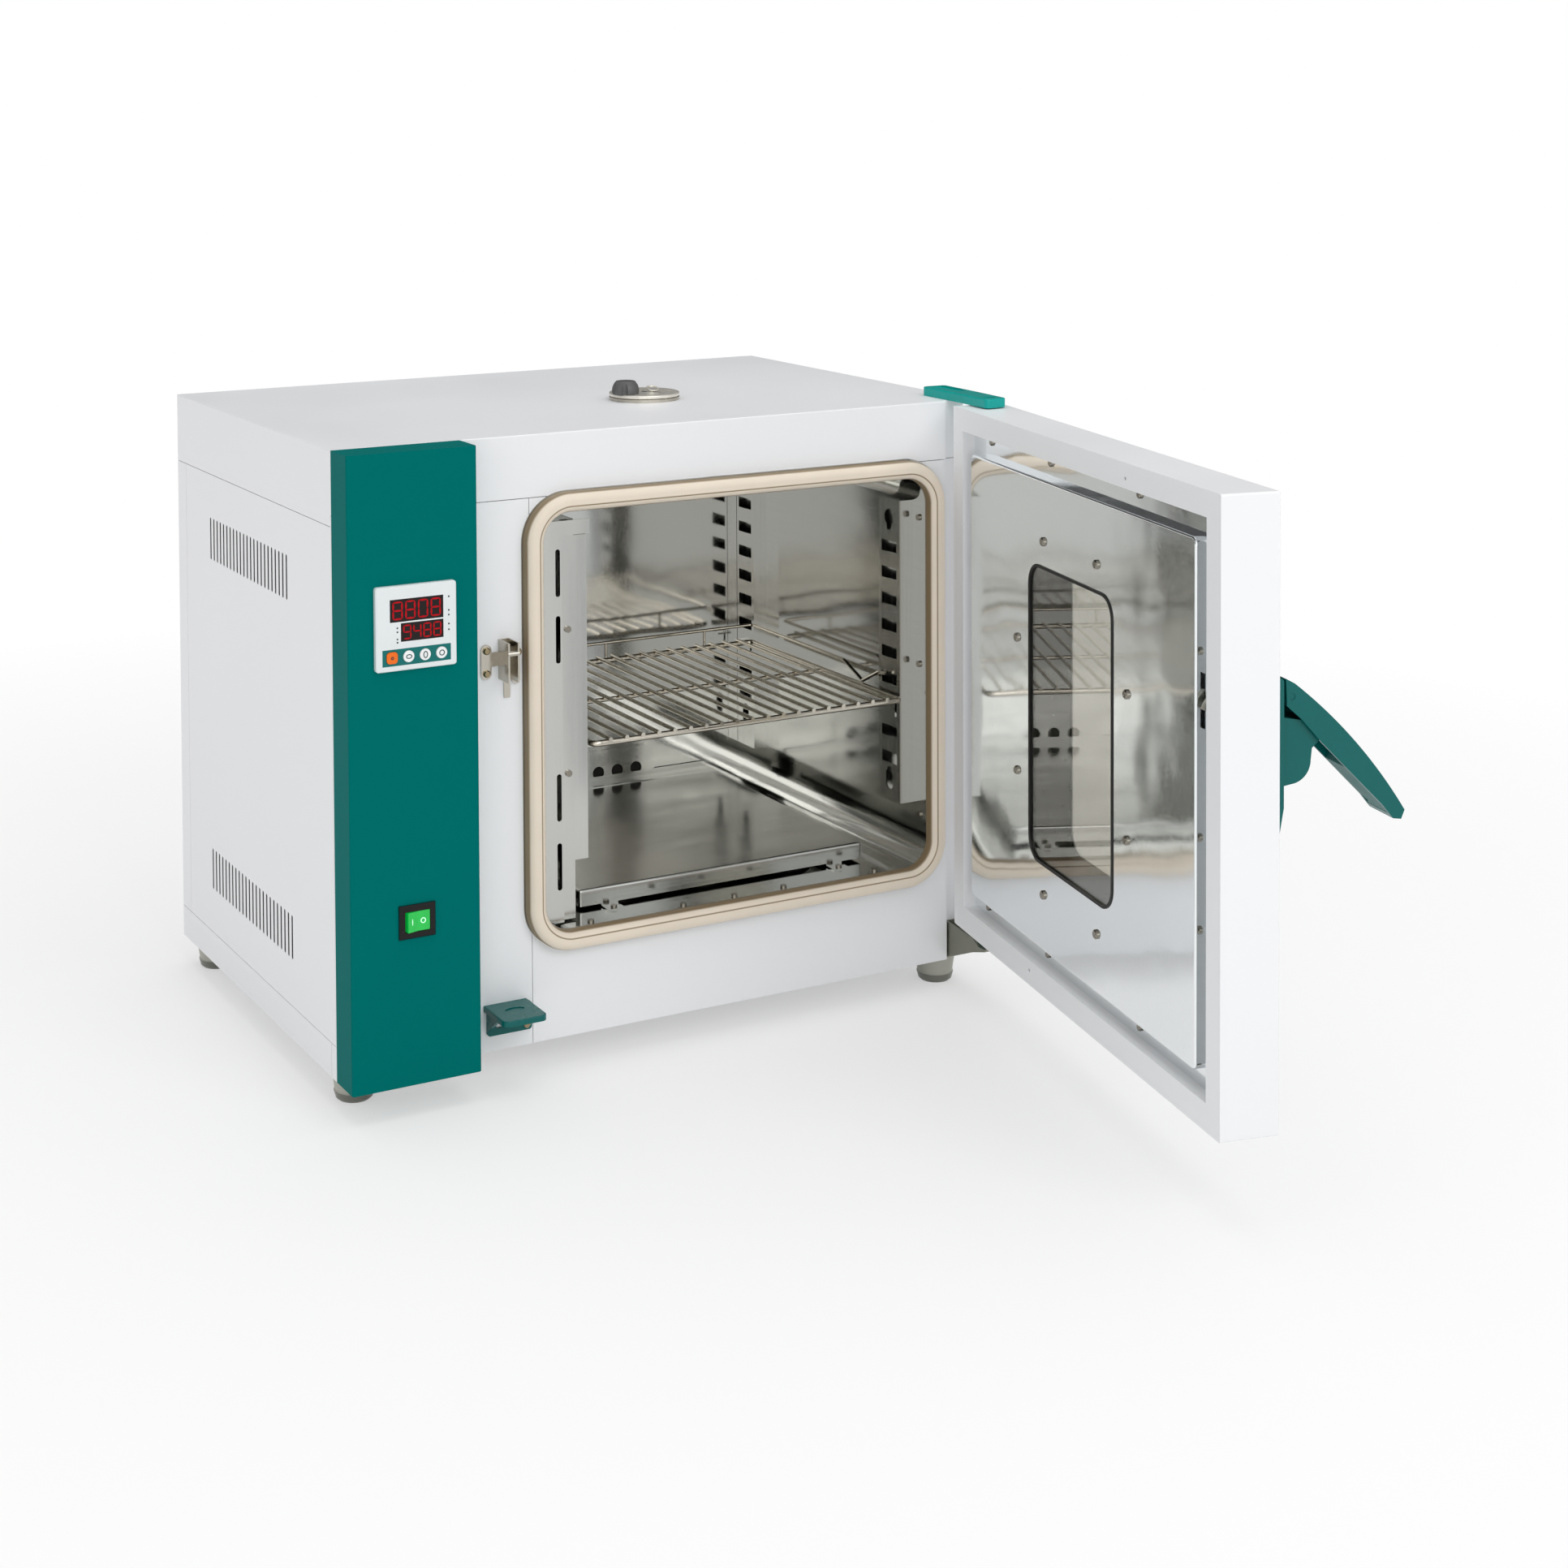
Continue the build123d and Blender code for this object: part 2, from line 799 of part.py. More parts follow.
def make_rocker():
    """Return the rocker: a dished front over a round back, tilted to one side."""
    half = rocker_length / 2
    front = -(rocker_proud + rocker_pivot_depth + 1.0)
    profile = make_face(
        Polyline(
            (-half, front),
            (0, front + rocker_dip),
            (half, front),
            (half, 0),
            (half * 0.45, rocker_back),
            (-half * 0.45, rocker_back),
            (-half, 0),
            close=True,
        )
    )
    profile -= Circle(rocker_pin_radius + rocker_pin_clearance)
    body = plan_prism(profile, about(0, rocker_height))
    return Pos(switch_x, rocker_axis_y(), switch_z) * Rot(0, 0, rocker_tilt) * body


def chamber_space(clearance):
    """Return the chamber's room, smaller by a clearance on each wall."""
    return front_prism(chamber_outline(-clearance), (0, chamber_depth - clearance))


def back_holes():
    """Return the row of round holes through the back wall's pressed pad."""
    y = (chamber_depth - back_pad_proud, chamber_depth + liner_sheet)
    holes = []
    for step in (-1, 0, 1):
        x = back_pad_centre[0] + 5 + step * back_hole_pitch
        holes.append(rod_y(back_hole_radius, y, x, back_pad_centre[1] - 4))
    return holes


def make_chamber_liner():
    """Return the stainless liner: a coved tube with a back wall and a flange round its mouth."""
    outer = front_prism(chamber_outline(liner_sheet), (-liner_sheet, chamber_depth + liner_sheet))
    flange = front_prism(chamber_outline(liner_flange), (-liner_sheet, 0))
    liner = outer + flange - front_prism(chamber_outline(0), (-liner_sheet, chamber_depth))
    pad_outline = rounded_rectangle(
        about(back_pad_centre[0], back_pad_width), about(back_pad_centre[1], back_pad_height), 10
    )
    liner += front_prism(pad_outline, (chamber_depth - back_pad_proud, chamber_depth))
    for hole in back_holes():
        liner -= hole
    wall_x = (chamber_left - liner_sheet, chamber_left)
    liner -= rod_x(shaft_hole_radius, wall_x, fan_y, fan_z)
    liner -= rod_z(vent_bore, (chamber_top, chamber_top + liner_sheet), vent_x, vent_y)
    probe_y = (chamber_depth, chamber_depth + liner_sheet)
    return liner - rod_y(probe_radius, probe_y, probe_x, probe_z)


def make_chamber_insulation():
    """Return the wool packed between the liner and the casing."""
    x = (bay_wall_x + casing_sheet, casing_width - casing_sheet)
    y = (insulation_front, casing_depth - casing_sheet)
    wool = block(x, y, (casing_sheet, casing_height - casing_sheet))
    corner = block((corner_x - casing_sheet, casing_width), (0, corner_wrap), (0, casing_height))
    wool -= corner
    wool -= front_prism(chamber_outline(liner_sheet), (0, chamber_depth + liner_sheet))
    wool -= rod_z(vent_bore + vent_wall, (chamber_top, casing_height), vent_x, vent_y)
    wool -= rod_x(shaft_hole_radius, (bay_wall_x, chamber_left), fan_y, fan_z)
    wool -= rod_y(probe_nut_radius, (chamber_depth, chamber_depth + 40), probe_x, probe_z)
    for foot_x, foot_y in foot_places():
        wool -= rod_z(foot_stud_radius + 1, (0, foot_stud_length + 1), foot_x, foot_y)
    return wool


def make_door_gasket():
    """Return the silicone gasket: a round-fronted bead on a flat lip round the chamber's mouth."""
    outer = liner_flange - 1.5
    bead_y = (-liner_sheet - gasket_proud, -liner_sheet)
    ring = front_prism(chamber_outline(outer), bead_y)
    ring -= front_prism(chamber_outline(outer - gasket_width), bead_y)
    front_edges = ring.faces().sort_by(Axis.Y)[0].edges()
    return fillet(front_edges, gasket_bead_radius)


def make_duct_panel():
    """Return the folded air duct cover with its slots, fitted inside the chamber's coves."""
    z = (duct_bottom, duct_top)
    left = chamber_left
    panel = block((left, duct_step_x), (duct_front_y, duct_front_y + duct_sheet), z)
    panel += block((duct_step_x - duct_sheet, duct_step_x), (duct_front_y, duct_step_y + duct_sheet), z)
    step_x = (duct_step_x - duct_sheet, duct_face_x)
    panel += block(step_x, (duct_step_y, duct_step_y + duct_sheet), z)
    face_x = (duct_face_x - duct_sheet, duct_face_x)
    panel += block(face_x, (duct_step_y, duct_back_y), z)
    panel += block((left, duct_face_x), (duct_back_y - duct_sheet, duct_back_y), z)
    panel += block((left, duct_face_x), (duct_step_y, duct_back_y), (duct_top - duct_sheet, duct_top))
    panel += block((left, duct_step_x), (duct_front_y, duct_step_y), (duct_top - duct_sheet, duct_top))
    cleat_y = (duct_front_y - duct_sheet, duct_front_y)
    cleat_z = (duct_top - duct_cleat_height, duct_top)
    panel += block((left + duct_cleat_inset, upright_left_x), cleat_y, cleat_z)
    for slot_z in duct_slot_heights:
        slot = SlotOverall(duct_slot_height, duct_slot_width, rotation=90)
        front = (duct_front_y, duct_front_y + duct_sheet)
        panel -= front_prism(Pos(duct_slot_x, slot_z) * slot, front)
    rows = GridLocations(0, air_slot_pitch, 1, air_slot_rows)
    air_slots = Sketch() + rows * SlotOverall(air_slot_length, air_slot_height)
    for row_z in (fan_z - 118, fan_z, fan_z + 118):
        panel -= side_prism(Pos(fan_y, row_z) * air_slots, face_x)
    return panel & chamber_space(duct_fit)


def make_fan_wheel():
    """Return the centrifugal wheel with its shaft, which runs in the motor."""
    shaft_end = bay_wall_x - motor_flange - motor_bore_depth + 2
    wheel = rod_x(fan_radius, (fan_start_x, fan_start_x + fan_sheet), fan_y, fan_z)
    wheel += rod_x(fan_hub_radius, (fan_start_x, fan_start_x + fan_depth - 6), fan_y, fan_z)
    blade_x = (fan_start_x, fan_start_x + fan_depth)
    blade = block(blade_x, (fan_eye_radius, fan_radius), (-fan_sheet / 2, fan_sheet / 2))
    for index in range(fan_blades):
        turn = Rot(index * 360 / fan_blades, 0, 0)
        lean = Pos(0, 6, 0) * Rot(18, 0, 0) * Pos(0, -6, 0)
        wheel += Pos(0, fan_y, fan_z) * turn * lean * blade
    return wheel + rod_x(shaft_radius, (shaft_end, fan_start_x), fan_y, fan_z)


def make_fan_motor():
    """Return the motor on the control bay's wall, with the shaft's bearing bore."""
    flange_x = (bay_wall_x - motor_flange, bay_wall_x)
    case_x = (flange_x[0] - motor_length, flange_x[0])
    motor = rod_x(motor_flange_radius, flange_x, fan_y, fan_z)
    motor += rod_x(motor_radius, case_x, fan_y, fan_z)
    bore_x = (flange_x[0] - motor_bore_depth, flange_x[1])
    return motor - rod_x(shaft_radius + shaft_clearance, bore_x, fan_y, fan_z)


def upright_cutters():
    """Return the rack upright's slots, keyhole and tall hole as one sketch about its own width."""
    top = Pos(0, rack_slot_top - (rack_slots - 1) * rack_slot_pitch / 2)
    rows = GridLocations(0, rack_slot_pitch, 1, rack_slots)
    holes = top * (Sketch() + rows * Rectangle(rack_slot_width, rack_slot_height))
    holes += Pos(0, keyhole_z) * Circle(keyhole_radius)
    holes += Pos(0, keyhole_z - keyhole_radius) * Rectangle(keyhole_radius, keyhole_radius)
    return holes + Pos(0, tall_hole_z) * SlotOverall(tall_hole_height, tall_hole_width, rotation=90)


def make_upright(face_x, wall_x, front_y, bottom):
    """Return one slotted channel that stands from the wall to its face, with capped ends."""
    z = (bottom, upright_top)
    y = (front_y, front_y + upright_width)
    x = (min(face_x, wall_x), max(face_x, wall_x))
    inward = upright_sheet if face_x < wall_x else -upright_sheet
    hollow_x = (min(face_x + inward, wall_x), max(face_x + inward, wall_x))
    hollow_y = (y[0] + upright_sheet, y[1] - upright_sheet)
    channel = block(x, y, z)
    channel -= block(hollow_x, hollow_y, (z[0], z[1] - upright_sheet))
    slots = side_prism(Pos(sum(y) / 2, 0) * upright_cutters(), x)
    return channel - slots


def uprights():
    """Return the four rack uprights by name."""
    rear_y = upright_rear_y
    front_left_y = duct_step_y
    return {
        "rack_upright_front_left": make_upright(
            upright_left_x, duct_face_x, front_left_y, upright_front_bottom
        ),
        "rack_upright_rear_left": make_upright(upright_left_x, duct_face_x, rear_y - 6, upright_rear_bottom),
        "rack_upright_front_right": make_upright(
            upright_right_x, chamber_right, upright_front_y, upright_front_bottom
        ),
        "rack_upright_rear_right": make_upright(
            upright_right_x, chamber_right, rear_y, upright_rear_bottom
        ),
    }


def clip_places():
    """Return each shelf clip's face x, inward direction and middle y."""
    half = upright_width / 2
    return [
        (upright_left_x, 1, duct_step_y + half),
        (upright_left_x, 1, upright_rear_y - 6 + half),
        (upright_right_x, -1, upright_front_y + half),
        (upright_right_x, -1, upright_rear_y + half),
    ]


def clip_top():
    """Return the height of the clips' tops, just under the shelf's side wires."""
    return shelf_z - frame_wire / 2 - shelf_rest_gap


def make_shelf_clips():
    """Return four clips, each a ledge under the shelf with a tab through an upright's slot."""
    clips = []
    slot_row = round((rack_slot_top - clip_top()) / rack_slot_pitch)
    slot_low = rack_slot_top - slot_row * rack_slot_pitch - rack_slot_height / 2
    for face_x, inward, y in clip_places():
        ledge_x = sorted((face_x, face_x + inward * clip_reach))
        ledge = block(ledge_x, about(y, clip_width), (clip_top() - clip_sheet, clip_top()))
        plate_x = sorted((face_x, face_x + inward * clip_sheet / 2))
        plate = block(plate_x, about(y, clip_width), (slot_low - 4, clip_top()))
        tab_x = sorted((face_x, face_x - inward * clip_tab))
        tab = block(tab_x, about(y, clip_width), (slot_low, slot_low + clip_sheet))
        clips.append(ledge + plate + tab)
    return Compound(clips)


def shelf_frame_x():
    """Return the x of the middle lines of the shelf frame's two side wires."""
    side = shelf_side_gap + frame_wire / 2
    return (upright_left_x + side, upright_right_x - side)


def make_wire_shelf():
    """Return the welded wire shelf: bent frame wire, grid of wires and under bar."""
    grid_radius = grid_wire / 2
    left, right = shelf_frame_x()
    front, rear = shelf_front_y, shelf_rear_y
    corners = [(left, front), (right, front), (right, rear), (left, rear)]
    frame_path = FilletPolyline([(x, y, shelf_z) for x, y in corners], radius=shelf_corner, close=True)
    start = Plane(origin=frame_path @ 0, z_dir=frame_path % 0)
    shelf = sweep(start * Circle(frame_wire / 2), frame_path)
    pitch = (right - left) / (shelf_wires + 1)
    wire_z = shelf_z + frame_wire / 2
    overhang = (front - frame_wire / 2, rear + frame_wire / 2)
    for index in range(shelf_wires):
        shelf += rod_y(grid_radius, overhang, left + (index + 1) * pitch, wire_z)
    bar_z = wire_z - grid_wire + 0.6
    return shelf + rod_x(grid_radius, (left, right), (front + rear) / 2, bar_z)


def make_shelf_guard():
    """Return the guard rail bent round the back and sides of the shelf, with its rear posts."""
    left, right = shelf_frame_x()
    rest_z = shelf_z + frame_wire / 2
    rail_z = shelf_z + guard_height
    bends = [(shelf_front_y + y, shelf_z + z) for y, z in guard_side_bends]
    points = [(left, y, z) for y, z in bends]
    points += [(left, shelf_rear_y, rail_z), (right, shelf_rear_y, rail_z)]
    points += [(right, y, z) for y, z in reversed(bends)]
    path = FilletPolyline(points, radius=guard_bend)
    start = Plane(origin=path @ 0, z_dir=path % 0)
    guard = sweep(start * Circle(guard_wire / 2), path)
    pitch = (right - left) / (shelf_wires + 1)
    for index in range(guard_posts):
        gap = round((shelf_wires + 1) * (2 * index + 1) / (2 * guard_posts)) - 0.5
        guard += rod_z(guard_post_wire / 2, (rest_z, rail_z), left + gap * pitch, shelf_rear_y)
    return guard


def make_heater_cover():
    """Return the folded cover over the heaters with its two front tabs."""
    x = heater_cover_x
    y = heater_cover_y
    top = chamber_floor + heater_cover_height
    bottom = chamber_floor + heater_cover_gap
    cover = block(x, y, (bottom, top))
    edges = cover.faces().sort_by(Axis.Z)[-1].edges() + cover.edges().filter_by(Axis.Z)
    cover = fillet(edges, bend_radius)
    sheet = heater_cover_sheet
    cover -= block((x[0] + sheet, x[1] - sheet), (y[0] + sheet, y[1]), (bottom, top - sheet))
    tab_y = (y[0] - heater_tab_length, y[0] + sheet)
    for tab_x in heater_tab_x:
        width = about(tab_x, heater_tab_width)
        cover += block(width, tab_y, (chamber_floor, chamber_floor + sheet))
        cover += block(width, (y[0], y[0] + sheet), (chamber_floor, bottom + sheet))
    foot_y = (y[1] - 12, y[1])
    for foot_x in (x[0], x[1] - sheet):
        foot = block((foot_x, foot_x + sheet), foot_y, (chamber_floor, bottom + sheet))
        cover += foot
    return cover


def make_heater_elements():
    """Return the hairpin heating tubes that come forward from the back wall."""
    tubes = []
    middle = sum(heater_cover_x) / 2
    for index in range(heater_hairpins):
        x = middle + (index - (heater_hairpins - 1) / 2) * heater_pitch
        legs = about(x, heater_leg_gap)
        z = chamber_floor + heater_lift
        path = FilletPolyline(
            (legs[0], chamber_depth, z),
            (legs[0], heater_front_y, z),
            (legs[1], heater_front_y, z),
            (legs[1], chamber_depth, z),
            radius=heater_leg_gap / 2 - 1,
        )
        start = Plane(origin=path @ 0, z_dir=path % 0)
        tubes.append(sweep(start * Circle(heater_tube / 2), path=path))
    return Compound(tubes)


def make_temperature_probe():
    """Return the probe's sheath with the nut that holds it in the back wall."""
    sheath_y = (chamber_depth - probe_length, chamber_depth + liner_sheet)
    probe = rod_y(probe_radius, sheath_y, probe_x, probe_z)
    nut = Pos(probe_x, probe_z) * RegularPolygon(probe_nut_radius, 6)
    probe += front_prism(nut, (chamber_depth - probe_nut_height / 2, chamber_depth))
    back_y = (chamber_depth + liner_sheet, chamber_depth + probe_nut_height)
    return probe + rod_y(probe_nut_radius - 1, back_y, probe_x, probe_z)


def make_vent_collar():
    """Return the vent's flange and tube, with the disc's spindle on a spider."""
    top = casing_height + vent_collar_height
    collar = rod_z(vent_radius, (casing_height, top), vent_x, vent_y)
    collar = chamfer(collar.faces().sort_by(Axis.Z)[-1].edges(), 0.8)
    collar += rod_z(vent_bore + vent_wall, (chamber_top + liner_sheet, casing_height), vent_x, vent_y)
    collar -= rod_z(vent_bore, (chamber_top, top), vent_x, vent_y)
    bar = block(about(vent_x, 2 * vent_bore + 1), about(vent_y, 4), (casing_height, top))
    spindle_top = top + vent_disc_thickness + vent_gap
    return collar + bar + rod_z(vent_spindle_radius, (top, spindle_top), vent_x, vent_y)


def vent_place(angle, distance):
    """Return a plan position on the vent's disc."""
    turn = radians(angle)
    return (vent_x + distance * cos(turn), vent_y + distance * sin(turn))


def make_vent_disc():
    """Return the turning disc with its ports and the wire loop that lifts it."""
    bottom = casing_height + vent_collar_height + vent_gap
    z = (bottom, bottom + vent_disc_thickness)
    disc = rod_z(vent_radius, z, vent_x, vent_y)
    disc = fillet(disc.faces().sort_by(Axis.Z)[-1].edges(), vent_disc_thickness / 3)
    disc -= rod_z(vent_spindle_radius + vent_spindle_clearance, z, vent_x, vent_y)
    port_x, port_y = vent_place(-12, vent_port_offset)
    disc -= rod_z(vent_port_radius, z, port_x, port_y)
    for angle in (60, 180, 300):
        hole_x, hole_y = vent_place(angle + vent_knob_angle - 180, vent_bore * 0.6)
        disc -= rod_z(vent_port_radius * 1.4, z, hole_x, hole_y)
    loop_x, loop_y = vent_place(0, vent_loop_offset)
    wire = Torus(vent_loop_radius, vent_loop_wire / 2)
    loop = Pos(loop_x, loop_y, z[1] + vent_loop_wire / 2 + 1.6) * Rot(18, 0, 0) * wire
    return disc + loop


def make_vent_knob():
    """Return the lobed knob that stands on the disc's rim."""
    bottom = casing_height + vent_collar_height + vent_gap + vent_disc_thickness
    x, y = vent_place(vent_knob_angle, vent_knob_offset)
    knob = Sphere(vent_knob_radius)
    lobes = Sketch() + [Rot(0, 0, 60 * index) * Pos(vent_knob_radius, 0) * Circle(3) for index in range(6)]
    knob -= extrude(Pos(0, 0, -vent_knob_radius) * lobes, amount=2 * vent_knob_radius)
    knob &= Pos(0, 0, vent_knob_height / 2 - 3) * Box(40, 40, vent_knob_height)
    lowest = knob.bounding_box().min.Z
    return Pos(x, y, bottom - lowest) * knob


def tray_opening():
    """Return the x and z limits of the opening inside the door's folded frame."""
    x = (door_x(door_width - door_stile), door_x(door_stile))
    return x, (door_bottom + door_rail_bottom, door_top - door_rail_top)


def make_door_shell():
    """Return the door's folded sheet box, open inside its frame, with its hinge bosses."""
    x = (door_x(door_width), door_x(0))
    z = (door_bottom, door_top)
    shell = block(x, (door_outer, door_inner), z)
    shell = fillet(shell.faces().sort_by(Axis.Y)[0].edges() + shell.edges().filter_by(Axis.Y), 1.6)
    inner_x = (x[0] + door_sheet, x[1] - door_sheet)
    inner_z = (z[0] + door_sheet, z[1] - door_sheet)
    shell -= block(inner_x, (door_skin_back, door_inner - door_sheet), inner_z)
    open_x, open_z = tray_opening()
    lip_x = (open_x[0] - door_sheet, open_x[1] + door_sheet)
    lip_z = (open_z[0] - door_sheet, open_z[1] + door_sheet)
    shell += block(lip_x, (tray_flange_face, door_inner - door_sheet), lip_z)
    shell -= block(open_x, (tray_flange_face, door_inner), open_z)
    window = rounded_rectangle(about(window_x, window_width), about(window_z, window_height), window_corner)
    shell -= front_prism(window, (door_outer, door_skin_back))
    for low, high in ((z[0], z[0] + hinge_boss_length), (z[1] - hinge_boss_length, z[1])):
        shell += rod_z(hinge_boss_radius, (low + 1, high - 1), hinge_x, hinge_y)
        shell -= rod_z(hinge_pin_radius + hinge_clearance, (low, high), hinge_x, hinge_y)
    for u, hole_z in drain_holes:
        shell -= rod_y(drain_hole_radius, (door_inner - door_sheet, door_inner), door_x(u), hole_z)
    link_z = about(latch_z + lever_pivot[1] - 8, link_window_height)
    link = block(about(handle_x, link_window_width), (door_outer, door_skin_back), link_z)
    return shell - link


def tray_screw_places():
    """Return the x and z of the screws round the door tray."""
    return [(door_x(u), z) for u, z in tray_screw_holes]


def window_bolt_places():
    """Return the x and z of the eight bolts round the window."""
    places = []
    for across, up in window_bolts:
        for side in (-1, 1):
            for level in (-1, 1):
                places.append((window_x + side * across, window_z - 2 + level * up))
    return places


def hook_slot_z():
    """Return the heights between which the latch hook passes the tray's flange."""
    return (latch_z - 5, latch_z + 38)


def make_door_tray():
    """Return the stainless tray: a raised panel on a flange, with its window and hook slot."""
    open_x, open_z = tray_opening()
    edge = tray_overlap
    flange_x = (open_x[0] - edge, open_x[1] + edge)
    flange_z = (open_z[0] - edge, open_z[1] + edge)
    flange = block(flange_x, (tray_flange_face - tray_sheet, tray_flange_face), flange_z)
    face_x = (door_x(tray_right_u), door_x(tray_left_u))
    face_z = (tray_bottom, tray_top)
    outline = rounded_rectangle(face_x, face_z, tray_corner)
    raised = front_prism(outline, (tray_flange_face - tray_sheet, tray_face))
    raised = fillet(raised.faces().sort_by(Axis.Y)[-1].edges(), bend_radius)
    inset = tray_sheet
    hollow_outline = rounded_rectangle(
        (face_x[0] + inset, face_x[1] - inset), (face_z[0] + inset, face_z[1] - inset), tray_corner - inset
    )
    hollow = front_prism(hollow_outline, (tray_flange_face - tray_sheet, tray_face - tray_sheet))
    tray = flange + raised - hollow
    window = rounded_rectangle(about(window_x, window_width), about(window_z, window_height), window_corner)
    tray -= front_prism(window, (tray_face - tray_sheet, tray_face))
    for x, z in tray_screw_places():
        hole_y = (tray_flange_face - tray_sheet, tray_flange_face)
        tray -= rod_y(tray_screw_shank + screw_clearance, hole_y, x, z)
    for x, z in window_bolt_places():
        tray -= rod_y(window_bolt_shank + screw_clearance, (tray_face - tray_sheet, tray_face), x, z)
    slot_y = (tray_flange_face - tray_sheet, tray_flange_face)
    return tray - block(about(latch_x, hook_slot_width), slot_y, hook_slot_z())


def window_frame(overlap, radius):
    """Return the window's outline grown by an overlap."""
    x = about(window_x, window_width + 2 * overlap)
    z = about(window_z, window_height + 2 * overlap)
    return rounded_rectangle(x, z, radius)


def glass_pane(y):
    """Return one pane of door glass."""
    return front_prism(window_frame(glass_overlap, 4), y)


def spacer_front():
    """Return the depth of the window spacer's flange face."""
    return tray_face - tray_sheet - glass_thickness


def make_window_spacer():
    """Return the tube between the two panes with the flange that clamps the inner one."""
    back = door_skin_back + glass_thickness
    front = spacer_front()
    spacer = front_prism(window_frame(spacer_flange, 6), (front - spacer_sheet, front))
    spacer += front_prism(window_frame(spacer_sheet, window_corner + spacer_sheet), (back, front))
    spacer -= front_prism(window_frame(0, window_corner), (back, front))
    for x, z in window_bolt_places():
        spacer -= rod_y(window_bolt_shank + screw_clearance, (front - spacer_sheet, front), x, z)
    return spacer


def make_door_insulation():
    """Return the wool inside the door, clear of the latch, the hinges and the window."""
    x = (door_x(door_width - door_stile) + 30, door_x(door_stile) - 2)
    z = (door_bottom + 4, door_top - 4)
    wool = block(x, (door_skin_back, tray_flange_face - tray_sheet), z)
    wool -= front_prism(window_frame(spacer_flange + 2, 6), (door_skin_back, tray_flange_face))
    for screw_x, screw_z in tray_screw_places():
        screw_y = (tray_flange_face - tray_screw_length - 1, tray_flange_face)
        wool -= rod_y(tray_screw_shank + 1, screw_y, screw_x, screw_z)
    return wool


def inward_screw(x, z, face, radius, head, shank, length):
    """Return a screw whose head stands out from an inner face of the door towards the chamber."""
    screw = rod_y(radius, (face, face + head), x, z)
    screw = chamfer(screw.faces().sort_by(Axis.Y)[-1].edges(), head * 0.4)
    return screw + rod_y(shank, (face - length, face), x, z)


def make_tray_screws():
    """Return the screws that hold the tray in the door."""
    size = (tray_screw_radius, tray_screw_head, tray_screw_shank, tray_screw_length)
    return Compound([inward_screw(x, z, tray_flange_face, *size) for x, z in tray_screw_places()])


def make_window_bolts():
    """Return the bolts that clamp the inner pane between the tray and the spacer."""
    size = (window_bolt_radius, window_bolt_head, window_bolt_shank, window_bolt_length)
    return Compound([inward_screw(x, z, tray_face, *size) for x, z in window_bolt_places()])


def out(point):
    """Return the y and z of a handle point, from its distance out and its height above the latch."""
    return (door_outer - point[0], latch_z + point[1])


def make_handle_housing():
    """Return the handle's base with its lobe and the trunnions that the lever turns on."""
    base_outline = make_face(
        Polyline(
            out((0, handle_base_bottom)),
            out((0, handle_top)),
            out((handle_base - 1, handle_top)),
            out((handle_base, handle_top - 2)),
            out((handle_base, handle_base_bottom + 22)),
            out((handle_base - 4, handle_base_bottom)),
            close=True,
        )
    )
    housing = side_prism(base_outline, about(handle_x, handle_width))
    lobe_line = Polyline(
        out((handle_base - 2, 7)), out((42, 1)), out(housing_lobe_corner), out((39, -19)), out((38, -28))
    )
    lobe_foot = ThreePointArc(out((38, -28)), out((34, -39)), out((24, -45)))
    lobe_end = Polyline(out((24, -45)), out((handle_base - 2, -47)), out((handle_base - 2, 7)))
    lobe = make_face(lobe_line + lobe_foot + lobe_end)
    housing += side_prism(lobe, about(handle_x, housing_lobe_width))
    pivot = out(lever_pivot)
    lug = make_face(
        Polyline(
            out((handle_base - 2, lever_pivot[1] + lever_boss_radius)),
            out((lever_pivot[0], lever_pivot[1] + lever_boss_radius)),
            out((lever_pivot[0], lever_pivot[1] - lever_boss_radius)),
            out((handle_base - 2, lever_pivot[1] - lever_boss_radius)),
            close=True,
        )
    )
    lug += Pos(*pivot) * Circle(lever_boss_radius)
    housing += side_prism(lug, about(handle_x, housing_lobe_width))
    return housing + rod_x(lever_trunnion_radius, about(handle_x, handle_width - 1), *pivot)


def lever_outline(skin):
    """Return the lever's side outline, with its back set in by a skin thickness."""
    shift = skin * 0.7071
    head = (lever_head[0] - shift, lever_head[1] - shift)
    back = (lever_back[0] - shift, lever_back[1] - shift)
    tip = (lever_tip[0] - shift, lever_tip[1] - shift)
    arc = ThreePointArc(out(head), out(back), out(tip))
    lower = Polyline(
        out(tip),
        out((114 - shift, -79 + skin)),
        out((107, -78 + skin)),
        out((98, -67)),
        out((45, -14)),
        out((28, 5)),
        out((15.5, 16)),
        out((14.6 + skin, handle_top - 1.5 * skin)),
        out(head),
    )
    return make_face(arc + lower)


def make_handle_lever():
    """Return the hollow lever: a curved back with two side walls, bored for the trunnions."""
    shell = side_prism(lever_outline(0), about(handle_x, handle_width))
    inner_width = handle_width - 2 * handle_wall
    cavity = side_prism(lever_outline(lever_skin), about(handle_x, inner_width))
    open_side = make_face(
        Polyline(
            out((16.8, 35)), out((25, 26)), out((100, -67)), out((104, -74)), out((96, -82)),
            out((10, 0)), out((10, 35)), close=True,
        )
    )
    cavity += side_prism(open_side, about(handle_x, inner_width))
    bore = lever_trunnion_radius + lever_trunnion_clearance
    bored = rod_x(bore, about(handle_x, handle_width), *out(lever_pivot))
    return shell - cavity - bored


def make_lever_grip():
    """Return the grip insert that fills the lever's lower end."""
    grip = make_face(
        Polyline(
            out((70, -19)), out((66, -38)), out((92, -71)), out((100, -76)), out((112, -72.5)),
            out((95, -46)), close=True,
        )
    )
    width = about(handle_x, handle_width - 2 * handle_wall)
    return side_prism(grip & lever_outline(lever_skin), width)


